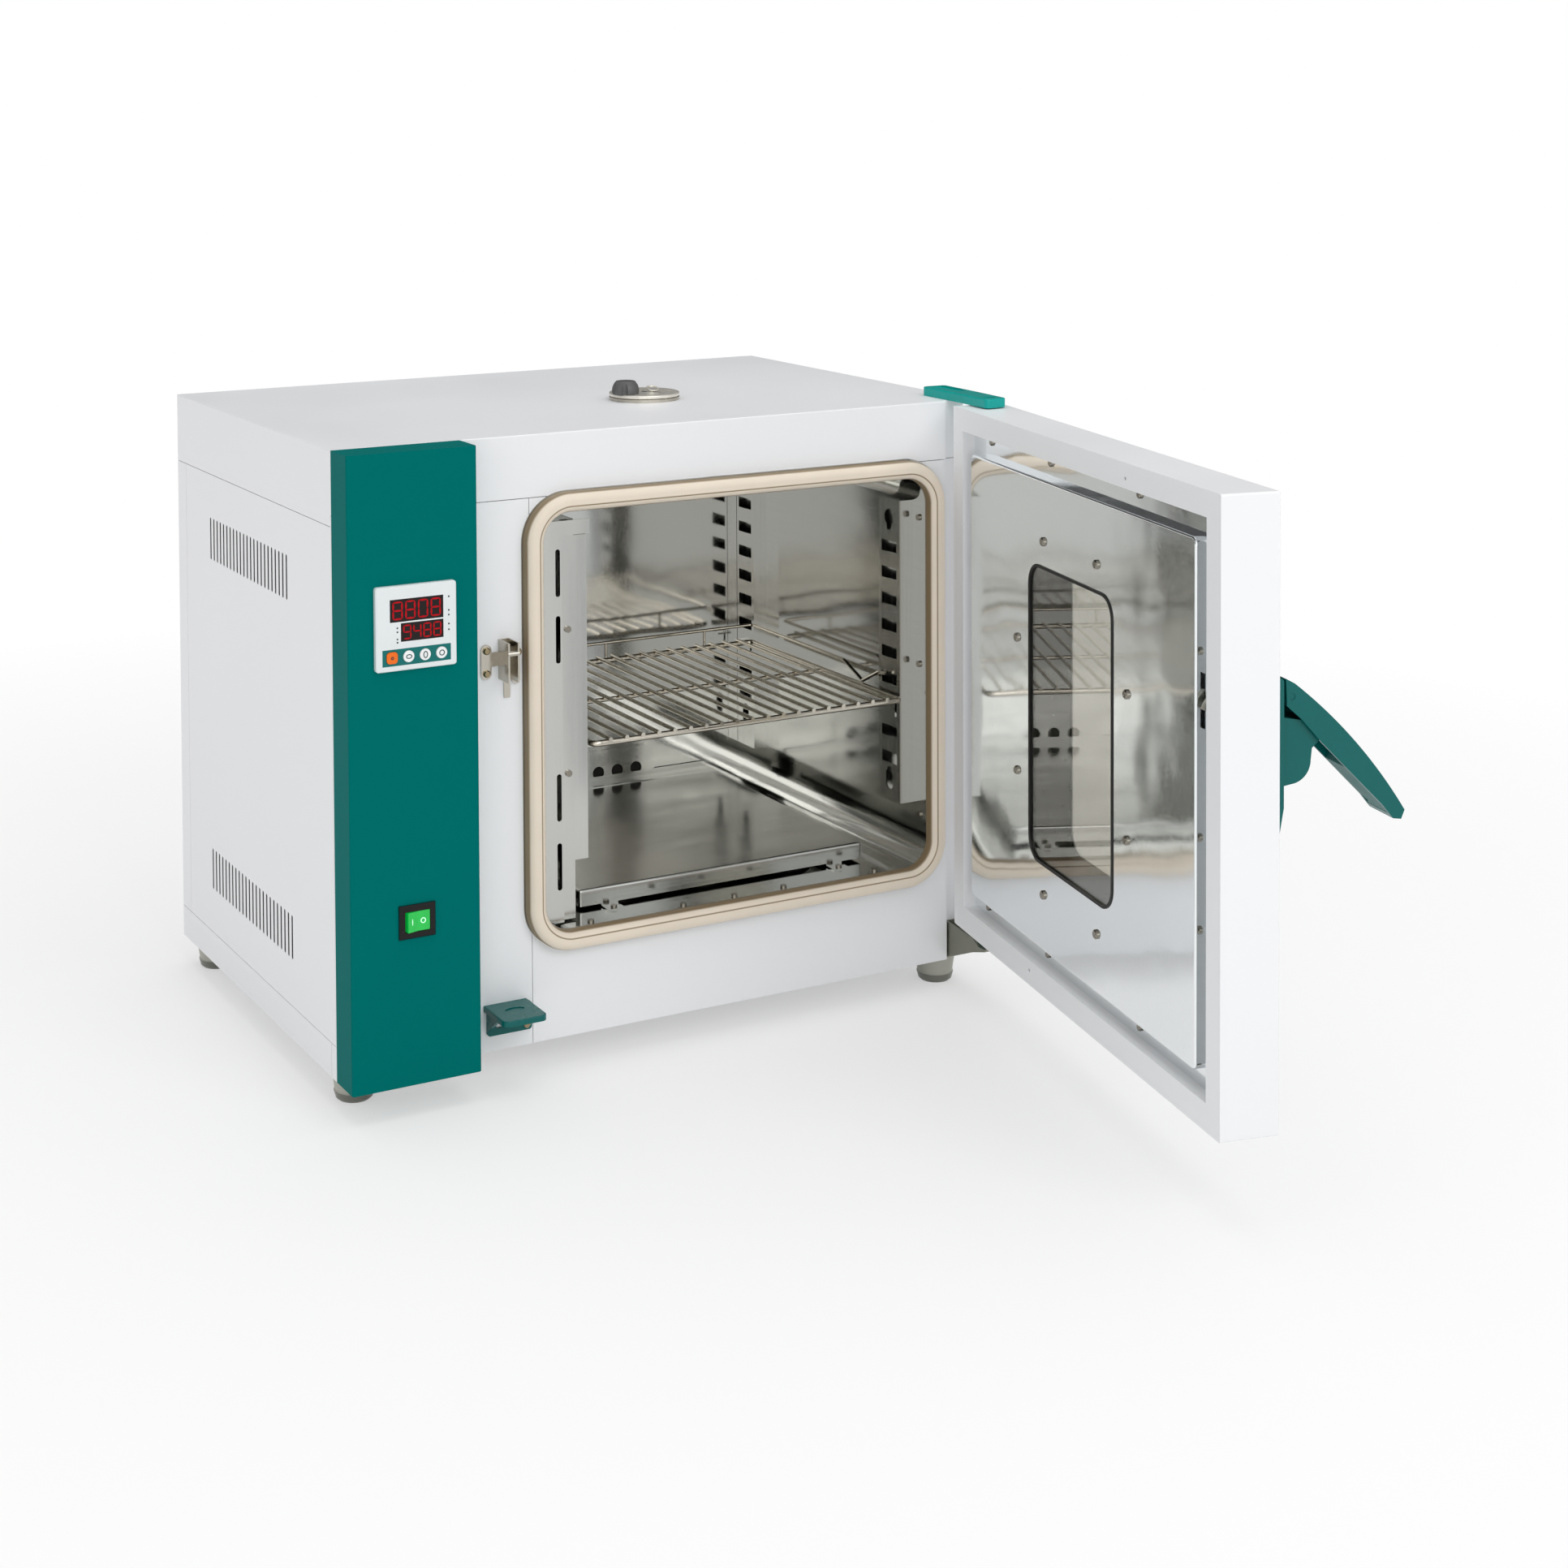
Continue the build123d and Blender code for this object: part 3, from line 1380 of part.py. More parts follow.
def nose_radius():
    """Return the inner radius of the hook's nose about the hook's pivot."""
    return strike_pin_y - latch_pivot_y + strike_pin_radius + hook_nose_gap


def polar(radius, angle):
    """Return the y and z at a radius and angle above level about the hook's pivot."""
    turn = radians(angle)
    return (latch_pivot_y + radius * cos(turn), latch_z + radius * sin(turn))


def make_latch_hook():
    """Return the latch hook, drawn engaged and then turned up to its released place."""
    inner = nose_radius()
    tip = inner + hook_nose
    arm_low = 10.0
    arm_high = 27.0
    profile = make_face(
        Polyline(
            polar(2, arm_low),
            polar(inner, arm_low),
            polar(inner, -5),
            polar(tip, -5),
        )
        + ThreePointArc(polar(tip, -5), polar(tip, 8), polar(tip, arm_high - 6))
        + Polyline(
            polar(tip, arm_high - 6), polar(inner, arm_high), polar(2, arm_high + 60), polar(2, arm_low)
        )
    )
    hook = side_prism(profile, about(latch_x, hook_thickness))
    hook += rod_x(hook_hub_radius, about(latch_x, hook_hub_width), latch_pivot_y, latch_z)
    bore = latch_pin_radius + latch_pin_clearance
    hook -= rod_x(bore, about(latch_x, hook_hub_width), latch_pivot_y, latch_z)
    turn = Pos(0, latch_pivot_y, latch_z) * Rot(hook_open_angle, 0, 0) * Pos(0, -latch_pivot_y, -latch_z)
    return turn * hook


def make_latch_bracket():
    """Return the bracket inside the door that carries the hook's pin."""
    half = hook_hub_width / 2 + latch_cheek_gap
    z = about(latch_z, latch_cheek_height)
    base_x = about(latch_x, 2 * half + 16)
    bracket = block(base_x, (door_skin_back, door_skin_back + latch_cheek_sheet), z)
    cheek_y = (door_skin_back, latch_pivot_y + hook_hub_radius)
    for side in (-1, 1):
        inner = latch_x + side * half
        cheek_x = sorted((inner, inner + side * latch_cheek_sheet))
        bracket += block(cheek_x, cheek_y, z)
    pin_x = about(latch_x, 2 * (half + latch_cheek_sheet))
    return bracket + rod_x(latch_pin_radius, pin_x, latch_pivot_y, latch_z)


def make_strike_plate():
    """Return the strike: screw plate, two-cheek bracket with its pin, tongue and side loop."""
    y = (-strike_plate_thickness, 0)
    outline = rounded_rectangle(about(strike_screws[0][0], 9.6), about(latch_z - 9.2, 30), 4.6)
    plate = front_prism(outline, y)
    width = about(latch_x, strike_bracket_width)
    z = (strike_bracket_bottom, strike_bracket_top)
    bridge_z = about(strike_screws[0][1] - 8, 12)
    plate += block((strike_screws[0][0], strike_screws[2][0]), y, bridge_z)
    plate += rod_y(strike_lug_radius, y, *strike_screws[2])
    web_y = (-strike_proud, 0)
    for side in (-1, 1):
        edge = latch_x + side * strike_bracket_width / 2
        cheek_x = sorted((edge, edge - side * strike_sheet))
        plate += block(cheek_x, web_y, z)
    plate += block(width, (-strike_sheet, 0), z)
    pin_z = latch_z
    plate += rod_x(strike_pin_radius, width, strike_pin_y, pin_z)
    tongue_x = (width[1] - strike_tongue_width, width[1])
    plate += block(tongue_x, (-strike_sheet, 0), (strike_tongue_bottom, strike_bracket_bottom))
    loop_x = strike_screws[2][0] - loop_width / 4
    loop = SlotOverall(loop_height, loop_width, rotation=90)
    loop -= SlotOverall(loop_height - 2 * loop_wire, loop_width - 2 * loop_wire, rotation=90)
    loop_z = strike_screws[2][1] - strike_lug_radius + 0.8 - loop_height / 2
    plate += front_prism(Pos(loop_x, loop_z) * loop, (-3 * loop_wire / 2, -loop_wire / 2))
    return plate - casing_screw_holes(strike_screws)


def make_hinge_arm():
    """Return the moulded arm on the casing's top that holds the upper hinge pin."""
    outline = make_face(
        Polyline(
            (arm_rear_left_x, arm_rear_y),
            (arm_rear_left_x, -4),
            (arm_front_left_x, arm_front_y),
            (arm_front_right_x, arm_front_y + 1.5),
            (arm_rear_right_x - 2, -12),
            (arm_rear_right_x, arm_rear_y - 2),
            close=True,
        )
    )
    outline = fillet(outline.vertices(), arm_corner)
    z = (casing_height, casing_height + arm_thickness)
    arm = plan_prism(outline, z)
    arm = fillet(arm.faces().sort_by(Axis.Z)[-1].edges(), 1.2)
    recess_x = (arm_rear_left_x + arm_recess_margin, arm_rear_right_x - arm_recess_margin - 1)
    recess_z = (z[1] - arm_recess_depth, z[1])
    arm -= block(recess_x, (2, arm_rear_y - arm_recess_margin), recess_z)
    slot = Pos(hinge_x - 3, hinge_y - 13) * SlotOverall(13, 6)
    arm -= plan_prism(slot, (z[1] - 2 * arm_recess_depth, z[1]))
    return arm - rod_z(hinge_pin_radius, (z[0], z[1] - 2), hinge_x, hinge_y)


def make_hinge_pins():
    """Return the upper and lower hinge pins with their collars."""
    top_z = (door_top - hinge_pin_reach, casing_height + arm_thickness - 2)
    upper = rod_z(hinge_pin_radius, top_z, hinge_x, hinge_y)
    upper += rod_z(hinge_collar_radius, (door_top + hinge_end_gap, casing_height), hinge_x, hinge_y)
    bottom_z = (bracket_plate_z, door_bottom + hinge_pin_reach)
    lower = rod_z(hinge_pin_radius, bottom_z, hinge_x, hinge_y)
    collar_z = (bracket_plate_z + bracket_sheet, door_bottom - hinge_end_gap)
    lower += rod_z(hinge_collar_radius, collar_z, hinge_x, hinge_y)
    return Compound([upper, lower])


def make_lower_hinge_bracket():
    """Return the folded gusset bracket below the door, screwed to the recessed corner."""
    back = corner_recess_depth
    sheet = bracket_sheet
    x = (bracket_left_x, bracket_right_x)
    bracket = block(x, (back - sheet, back), (bracket_bottom_z, bracket_top_z))
    plate_z = (bracket_plate_z, bracket_plate_z + sheet)
    bracket += block(x, (bracket_front_y, back), plate_z)
    web = make_face(
        Polyline(
            (back, bracket_bottom_z),
            (back, bracket_top_z),
            (-41, 32.5),
            (-50, plate_z[1]),
            (bracket_front_y, plate_z[1]),
            (bracket_front_y, plate_z[0]),
            (-41, 19),
            close=True,
        )
    )
    for web_x in (x[0], x[1] - sheet):
        bracket += side_prism(web, (web_x, web_x + sheet))
    bracket -= casing_screw_holes(casing_screw_places())
    return bracket - rod_z(hinge_pin_radius, plate_z, hinge_x, hinge_y)


def make_lower_hinge_cover():
    """Return the moulded cap round the lower pin's collar."""
    bottom = bracket_plate_z + bracket_sheet
    cap = rod_z(cover_radius, (bottom, bottom + cover_height), hinge_x - 1, hinge_y)
    cap = fillet(cap.faces().sort_by(Axis.Z)[-1].edges(), 3)
    inside_x = (bracket_left_x + bracket_sheet, bracket_right_x - bracket_sheet)
    cap &= block(inside_x, (bracket_front_y, 0), (bottom, bottom + cover_height))
    return cap - rod_z(hinge_collar_radius, (bottom, bottom + cover_height), hinge_x, hinge_y)


def make_door_rest():
    """Return the moulded ledge that the closed door's free corner rests over."""
    shelf_outline = rounded_rectangle(rest_shelf_x, (-rest_shelf_depth, rest_corner), rest_corner)
    shelf = plan_prism(shelf_outline, (rest_top_z - rest_shelf_thickness, rest_top_z))
    shelf &= block((0, casing_width), (-rest_shelf_depth, 0), (0, rest_top_z))
    shelf = fillet(shelf.faces().sort_by(Axis.Z)[-1].edges().sort_by(Axis.Y)[:-1], 1.0)
    plate_outline = rounded_rectangle(rest_plate_x, (rest_bottom_z, rest_top_z - 2), 3)
    rest = shelf + front_prism(plate_outline, (-rest_plate_thickness, 0))
    gusset = make_face(
        Polyline(
            (0, rest_bottom_z + 3),
            (0, rest_top_z - 1),
            (-26, rest_top_z - 1),
            (-26, rest_top_z - rest_shelf_thickness),
            close=True,
        )
    )
    rest += side_prism(gusset, (rest_plate_x[0], rest_plate_x[0] + 3))
    slot_place = Pos(sum(rest_plate_x) / 2 - 4, rest_bottom_z + 10)
    rest -= front_prism(slot_place * RectangleRounded(*rest_slot, 2), (-rest_plate_thickness, 0))
    dimple = Pos(sum(rest_shelf_x) / 2, -rest_shelf_depth * 0.45) * Ellipse(9, 5)
    rest -= casing_screw_holes(casing_screw_places())
    return rest - plan_prism(dimple, (rest_top_z - 0.8, rest_top_z))


def casing_screw_places():
    """Return the x, z and face y of the screws on the casing's front."""
    strike_face = -strike_plate_thickness
    places = [(x, z, strike_face) for x, z in strike_screws]
    for z in (rest_bottom_z + 5, rest_bottom_z + 17):
        places.append((rest_plate_x[1] - 5, z, -rest_plate_thickness))
    for z in (8.0, 18.0):
        places.append((hinge_x, z, corner_recess_depth - bracket_sheet))
    return places


def casing_screw_holes(places):
    """Return clearance holes through the front sheets at the x and z of some screws."""
    y = (-rest_plate_thickness, corner_recess_depth + casing_sheet)
    return [rod_y(screw_shank_radius + screw_clearance, y, place[0], place[1]) for place in places]


def make_casing_screws():
    """Return the pan-head screws on the casing's front, each as long as the sheets it holds."""
    screws = []
    for x, z, face in casing_screw_places():
        sheet_back = casing_sheet + (corner_recess_depth if x > corner_x else 0)
        length = sheet_back - face
        size = (screw_head_radius, screw_head_height, screw_shank_radius, length)
        screws.append(pan_screw_y(x, z, face, *size))
    return Compound(screws)


def make_chamber_screws():
    """Return the flat-headed screws on the duct, the right wall and the floor of the chamber."""
    heads = []
    for z in (chamber_middle_z + 76.5, chamber_middle_z - 52.0):
        y = (duct_step_y - chamber_screw_head, duct_step_y)
        heads.append(rod_y(chamber_screw_radius, y, duct_face_x - 6, z))
    for z in (chamber_top - 40, chamber_middle_z + 4.5, chamber_floor + 45):
        x = (chamber_right - chamber_screw_head, chamber_right)
        heads.append(rod_x(chamber_screw_radius, x, 10, z))
    floor_row = (heater_cover_x[0] - 4, vent_x - 44, vent_x + 9, vent_x + 61, heater_cover_x[1] - 5)
    for x in floor_row:
        z = (chamber_floor, chamber_floor + chamber_screw_head)
        heads.append(rod_z(chamber_screw_radius, z, x, 6))
    for x in heater_tab_x:
        floor = chamber_floor + heater_cover_sheet
        z = (floor, floor + chamber_screw_head)
        heads.append(rod_z(chamber_screw_radius, z, x, heater_cover_y[0] - 8))
    return Compound(heads)


def make_mains_gland():
    """Return the cable gland on the rear panel, with its free bore."""
    y = casing_depth
    gland = front_prism(Pos(gland_x, gland_z) * RegularPolygon(gland_radius, 6), (y, y + 5))
    gland += rod_y(gland_radius - 2, (y + 5, y + gland_length), gland_x, gland_z)
    gland = fillet(gland.faces().sort_by(Axis.Y)[-1].edges(), 3)
    gland += rod_y(gland_bore + 3, (y - 8, y), gland_x, gland_z)
    return gland - rod_y(gland_bore, (y - 8, y + gland_length), gland_x, gland_z)


def door_parts():
    """Return the door's sub-parts by name, drawn with the door closed."""
    return {
        "door_shell": make_door_shell(),
        "door_tray": make_door_tray(),
        "door_insulation": make_door_insulation(),
        "inner_glass": glass_pane((spacer_front(), tray_face - tray_sheet)),
        "outer_glass": glass_pane((door_skin_back, door_skin_back + glass_thickness)),
        "window_spacer": make_window_spacer(),
        "tray_screws": make_tray_screws(),
        "window_bolts": make_window_bolts(),
        "handle_housing": make_handle_housing(),
        "handle_lever": make_handle_lever(),
        "lever_grip": make_lever_grip(),
        "latch_bracket": make_latch_bracket(),
        "latch_hook": make_latch_hook(),
    }


def casing_parts():
    """Return the sub-parts of the casing, the chamber and what they carry by name."""
    parts = {
        "top_cover": make_top_cover(),
        "front_fascia": make_front_fascia(),
        "control_bay_front": make_control_bay_front(),
        "left_side_panel": make_left_side_panel(),
        "right_side_panel": make_right_side_panel(),
        "rear_panel": make_rear_panel(),
        "base_pan": make_base_pan(),
        "control_bay_wall": make_control_bay_wall(),
        "feet": make_feet(),
        "control_column": make_control_column(),
        "controller_case": make_controller_case(),
        "display_windows": make_display_windows(),
        "keypad_strip": make_keypad_strip(),
        "switch_housing": make_switch_housing(),
        "rocker": make_rocker(),
        "chamber_liner": make_chamber_liner(),
        "chamber_insulation": make_chamber_insulation(),
        "door_gasket": make_door_gasket(),
        "duct_panel": make_duct_panel(),
        "fan_wheel": make_fan_wheel(),
        "fan_motor": make_fan_motor(),
        "shelf_clips": make_shelf_clips(),
        "wire_shelf": make_wire_shelf(),
        "shelf_guard": make_shelf_guard(),
        "heater_cover": make_heater_cover(),
        "heater_elements": make_heater_elements(),
        "temperature_probe": make_temperature_probe(),
        "vent_collar": make_vent_collar(),
        "vent_disc": make_vent_disc(),
        "vent_knob": make_vent_knob(),
        "strike_plate": make_strike_plate(),
        "hinge_arm": make_hinge_arm(),
        "hinge_pins": make_hinge_pins(),
        "lower_hinge_bracket": make_lower_hinge_bracket(),
        "lower_hinge_cover": make_lower_hinge_cover(),
        "door_rest": make_door_rest(),
        "casing_screws": make_casing_screws(),
        "chamber_screws": make_chamber_screws(),
        "mains_gland": make_mains_gland(),
    }
    parts.update(uprights())
    for index in range(key_count):
        parts[f"key_{index + 1}"] = make_key(index)
    return parts


def main():
    """Build every sub-part and write it to its own file."""
    os.makedirs("parts", exist_ok=True)
    to_bench = Pos(-casing_width / 2, -casing_depth / 2, foot_height)
    swing = Pos(hinge_x, hinge_y, 0) * Rot(0, 0, door_rest_angle) * Pos(-hinge_x, -hinge_y, 0)
    for name, shape in casing_parts().items():
        export_step(to_bench * shape, f"parts/{name}.step")
    for name, shape in door_parts().items():
        export_step(to_bench * swing * shape, f"parts/{name}.step")


main()
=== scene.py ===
"""Looks, studio and camera for the bench drying oven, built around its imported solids."""

from math import cos, pi, sin

import bpy
from mathutils import Matrix, Vector
from mathutils.bvhtree import BVHTree


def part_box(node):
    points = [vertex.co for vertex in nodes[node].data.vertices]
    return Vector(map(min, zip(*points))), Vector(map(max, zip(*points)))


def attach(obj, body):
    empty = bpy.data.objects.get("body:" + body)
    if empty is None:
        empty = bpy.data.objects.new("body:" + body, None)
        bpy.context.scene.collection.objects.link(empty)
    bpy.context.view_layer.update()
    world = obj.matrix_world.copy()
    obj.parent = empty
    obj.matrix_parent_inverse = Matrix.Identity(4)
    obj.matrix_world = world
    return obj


bl_info = {
    "name": "Drying Oven Looks",
    "version": (1, 0, 0),
    "blender": (4, 5, 0),
    "location": "View3D > Sidebar > Drying Oven",
    "description": "Paints the oven's steel, plastics and glass, and adds its display, seals and marks",
    "category": "Object",
}

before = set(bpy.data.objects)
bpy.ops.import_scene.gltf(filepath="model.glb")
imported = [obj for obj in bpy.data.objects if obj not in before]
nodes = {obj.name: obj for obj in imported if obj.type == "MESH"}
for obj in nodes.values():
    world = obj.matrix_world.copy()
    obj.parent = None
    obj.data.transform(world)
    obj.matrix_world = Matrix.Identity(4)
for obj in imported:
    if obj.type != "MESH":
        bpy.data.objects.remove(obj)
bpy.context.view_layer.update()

MM = 0.001
DOOR_ANGLE = 78 * pi / 180

# Places in millimetres from the casing's left front lower corner: x to the right, y back, z up.
FRAME_ORIGIN = (324.0, 212.0, -27.0)
DOOR_HINGE = (634, -38, 0)
MOUTH_MIDDLE = (393, 0, 280.5)
BACK_WALL = (0, 343, 0)
WINDOW_MIDDLE = (390.5, -13.6, 288.5)
VENT_SHADE_PAD_MIDDLE = (5.6, 218)
DISPLAY_FACE_Y = -42
ROCKER_FRONT_Y = -36

# Lengths in millimetres.
MOUTH_CORE_HALF_WIDTH, MOUTH_CORE_HALF_HEIGHT = 175, 159.5
GASKET_INNER_EDGE, GASKET_GROOVE, GASKET_OUTER_EDGE = 25.4, 31.0, 42.6
FOOT_RING_HEIGHT = 8.0
WINDOW_OPENING, WINDOW_CORNER = (167.5, 262), 20.5
VENT_SLOT_PITCH, VENT_SLOT_WIDTH = 9.6, 3.7

# Sockets of the Mix node when it mixes colours.
MIX_A, MIX_B, MIX_RESULT = 6, 7, 2


def linear(hex_colour):
    """Turn an sRGB hex colour into linear red, green and blue."""
    channels = [int(hex_colour[i : i + 2], 16) / 255 for i in (1, 3, 5)]
    return tuple(c / 12.92 if c <= 0.04045 else ((c + 0.055) / 1.055) ** 2.4 for c in channels)


def colour_property(name, hex_colour, description):
    """Return a colour setting whose default is an sRGB hex colour."""
    return bpy.props.FloatVectorProperty(
        name=name, description=description, default=linear(hex_colour), subtype="COLOR", min=0, max=1
    )


def length_property(name, millimetres, description):
    """Return a length setting whose default is given in millimetres."""
    return bpy.props.FloatProperty(
        name=name, description=description, default=millimetres * MM, subtype="DISTANCE", unit="LENGTH"
    )


class OvenColours(bpy.types.PropertyGroup):
    """Colours of the oven's finishes."""

    casing: colour_property("Casing", "#F0F1F3", "White powder coat of the casing and door")
    column: colour_property("Column", "#006D69", "Teal powder coat of the control column")
    # The fittings' darker teal and the hinge arm's brighter teal are shaded and lit copies of one plastic:
    # painted shade and painted highlight.
    fittings: colour_property("Fittings", "#005F5C", "Teal plastic of the handle, hinge cover and door rest")
    hinge_arm: colour_property("Hinge arm", "#00A199", "Brighter teal plastic of the upper hinge arm")
    bezel: colour_property("Bezel", "#E4E9EA", "Pale plastic of the temperature controller")
    # The feet's grey is lighter than their own plastic, as painted light against the shade under the casing.
    feet: colour_property("Feet", "#B4B4A9", "Grey plastic of the feet")
    gasket: colour_property("Gasket", "#E8DCCB", "Cream silicone of the door gasket")
    digits: colour_property("Digits", "#A3151C", "Lit segments of the two displays")
    orange_key: colour_property("Orange key", "#F2711C", "First key of the controller")
    rocker: colour_property("Rocker", "#06A63C", "Lit green rocker of the mains switch")
    steel: colour_property("Steel", "#C2C2BE", "Bright stainless sheet of the chamber and door tray")


class OvenSizes(bpy.types.PropertyGroup):
    """Sizes of the marks and small pieces that are added to the solids."""

    main_digit_height: length_property("Main digit height", 14.0, "Height of the upper display's digits")
    set_digit_height: length_property("Set digit height", 11.0, "Height of the lower display's digits")
    segment_width: length_property("Segment width", 1.7, "Width of one display segment")
    mark_depth: length_property("Mark depth", 0.12, "Thickness of printed marks and display segments")
    lamp_radius: length_property("Lamp radius", 0.75, "Radius of the small lamps beside the displays")
    seal_lip: length_property("Seal lip", 2.6, "Width of the black lip round the door's window")
    strip_sheet: length_property("Strip sheet", 0.8, "Thickness of the folded closing strips")
    # The pads behind the side vents are near-black painted shade that makes the slots look dark.
    shade_pad_margin: length_property("Filter margin", 6.0, "How far the dust filters reach past the side vents")
    floor_size: length_property("Floor size", 24000.0, "Side of the studio floor")


def colours():
    """Return the scene's colour settings."""
    return bpy.context.scene.oven_colours


def sizes():
    """Return the scene's size settings."""
    return bpy.context.scene.oven_sizes


def add_node(material, kind, values=None, links=None):
    """Add one node with its settings and input values, and join other nodes' outputs to its inputs."""
    node = material.node_tree.nodes.new(kind)
    for name, value in (values or {}).items():
        if isinstance(name, int) or name in node.inputs:
            node.inputs[name].default_value = value
        else:
            setattr(node, name, value)
    for name, socket in (links or {}).items():
        material.node_tree.links.new(socket, node.inputs[name])
    return node


def new_material(name):
    """Return an empty node material, with the Object coordinates that its patterns read."""
    material = bpy.data.materials.new(name)
    material.use_nodes = True
    material.node_tree.nodes.clear()
    place = add_node(material, "ShaderNodeTexCoord").outputs["Object"]
    return material, place


def finish_material(material, shader):
    """Join a shader to the material's output and return the material."""
    add_node(material, "ShaderNodeOutputMaterial", links={"Surface": shader.outputs[0]})
    return material


def tinted(material, colour, factor, spread):
    """Return a colour output that wanders a little darker and lighter with a pattern."""
    dark = tuple(c * (1 - spread) for c in colour)
    light = tuple(min(1.0, c * (1 + spread)) for c in colour)
    ends = {"data_type": "RGBA", MIX_A: (*dark, 1), MIX_B: (*light, 1)}
    return add_node(material, "ShaderNodeMix", ends, {0: factor}).outputs[MIX_RESULT]


def spread_out(material, factor, low, high):
    """Return a noise's value, which lies mostly between 0.3 and 0.7, stretched to low and high."""
    ranged = add_node(
        material,
        "ShaderNodeMapRange",
        {"From Min": 0.3, "From Max": 0.7, "To Min": low, "To Max": high},
        {"Value": factor},
    )
    return ranged.outputs["Result"]


def powder_coat(name, colour, ior, roughness):
    """Polyester powder coat, sprayed and baked on sheet steel: satin, with a faint orange peel."""
    material, place = new_material(name)
    # The real peel is 1 to 2 mm across, and is drawn at 4 mm so that it still shows in the render.
    peel = add_node(material, "ShaderNodeTexNoise", {"Scale": 250.0, "Detail": 2.0}, {"Vector": place})
    drift = add_node(material, "ShaderNodeTexNoise", {"Scale": 4.0, "Detail": 3.0}, {"Vector": place})
    bump = add_node(
        material, "ShaderNodeBump", {"Strength": 0.12, "Distance": 0.0002}, {"Height": peel.outputs[0]}
    )
    shader = add_node(
        material,
        "ShaderNodeBsdfPrincipled",
        {"IOR": ior},
        {
            "Base Color": tinted(material, colour, drift.outputs[0], 0.012),
            "Roughness": spread_out(material, drift.outputs[0], roughness - 0.04, roughness + 0.04),
            "Normal": bump.outputs[0],
        },
    )
    return finish_material(material, shader)


def moulded_plastic(name, colour, roughness, grain=1200.0):
    """Injection-moulded ABS: even colour, satin from a spark-eroded mould, with a fine grain."""
    material, place = new_material(name)
    # The mould's grain is under 0.3 mm, and is drawn near 1 mm so that it softens the highlights.
    texture = add_node(material, "ShaderNodeTexNoise", {"Scale": grain, "Detail": 2.0}, {"Vector": place})
    flow = add_node(material, "ShaderNodeTexNoise", {"Scale": 30.0, "Detail": 2.0}, {"Vector": place})
    bump = add_node(
        material, "ShaderNodeBump", {"Strength": 0.15, "Distance": 0.00005}, {"Height": texture.outputs[0]}
    )
    shader = add_node(
        material,
        "ShaderNodeBsdfPrincipled",
        {"IOR": 1.35},
        {
            "Base Color": tinted(material, colour, flow.outputs[0], 0.03),
            "Roughness": spread_out(material, flow.outputs[0], roughness - 0.04, roughness + 0.04),
            "Normal": bump.outputs[0],
        },
    )
    return finish_material(material, shader)


def rolled_steel(name, colour, roughness, along, wave):
    """Cold-rolled stainless sheet: metal mirror with a rolling grain, and a slow wave from its bending."""
    material, place = new_material(name)
    # Rolling lines are some 0.1 mm apart, and are drawn at about 2.5 mm so that they show as a sheen.
    grain = [8.0 if axis == along else 420.0 for axis in "XYZ"]
    lined = add_node(material, "ShaderNodeMapping", {"Scale": grain}, {"Vector": place})
    lines = add_node(
        material, "ShaderNodeTexNoise", {"Scale": 1.0, "Detail": 3.0}, {"Vector": lined.outputs[0]}
    )
    # A sheet 0.8 mm thick sags between its bends in waves some 100 mm long, longer along the rolling.
    sag = [3.0 if axis == along else 11.0 for axis in "XYZ"]
    swayed = add_node(material, "ShaderNodeMapping", {"Scale": sag}, {"Vector": place})
    slow = add_node(
        material, "ShaderNodeTexNoise", {"Scale": 1.0, "Detail": 1.5}, {"Vector": swayed.outputs[0]}
    )
    bump = add_node(
        material, "ShaderNodeBump", {"Strength": wave, "Distance": 0.006}, {"Height": slow.outputs[0]}
    )
    shader = add_node(
        material,
        "ShaderNodeBsdfPrincipled",
        {"Metallic": 1.0},
        {
            "Base Color": tinted(material, colour, lines.outputs[0], 0.03),
            "Roughness": spread_out(material, lines.outputs[0], roughness - 0.02, roughness + 0.03),
            "Normal": bump.outputs[0],
        },
    )
    return finish_material(material, shader)


def plated_steel(name, colour, roughness, metal=1.0):
    """Plated steel, turned or bent: bright and a little uneven, and satin where metal is under 1."""
    material, place = new_material(name)
    cloud = add_node(material, "ShaderNodeTexNoise", {"Scale": 160.0, "Detail": 3.0}, {"Vector": place})
    shader = add_node(
        material,
        "ShaderNodeBsdfPrincipled",
        {"Metallic": metal},
        {
            "Base Color": tinted(material, colour, cloud.outputs[0], 0.10),
            "Roughness": spread_out(material, cloud.outputs[0], roughness - 0.05, roughness + 0.08),
        },
    )
    return finish_material(material, shader)


def gasket_reach(material, place):
    """Return how far a point lies from the mouth's core, the rectangle between its corners' centres."""
    middle = cab(*MOUTH_MIDDLE)
    core = (MOUTH_CORE_HALF_WIDTH * MM, 1.0, MOUTH_CORE_HALF_HEIGHT * MM)
    offset = add_node(material, "ShaderNodeVectorMath", {"operation": "SUBTRACT", 1: middle}, {0: place})
    size = add_node(material, "ShaderNodeVectorMath", {"operation": "ABSOLUTE"}, {0: offset.outputs[0]})
    past = add_node(
        material, "ShaderNodeVectorMath", {"operation": "SUBTRACT", 1: core}, {0: size.outputs[0]}
    )
    outside = add_node(
        material, "ShaderNodeVectorMath", {"operation": "MAXIMUM", 1: (0, 0, 0)}, {0: past.outputs[0]}
    )
    reach = add_node(material, "ShaderNodeVectorMath", {"operation": "LENGTH"}, {0: outside.outputs[0]})
    return reach.outputs["Value"]


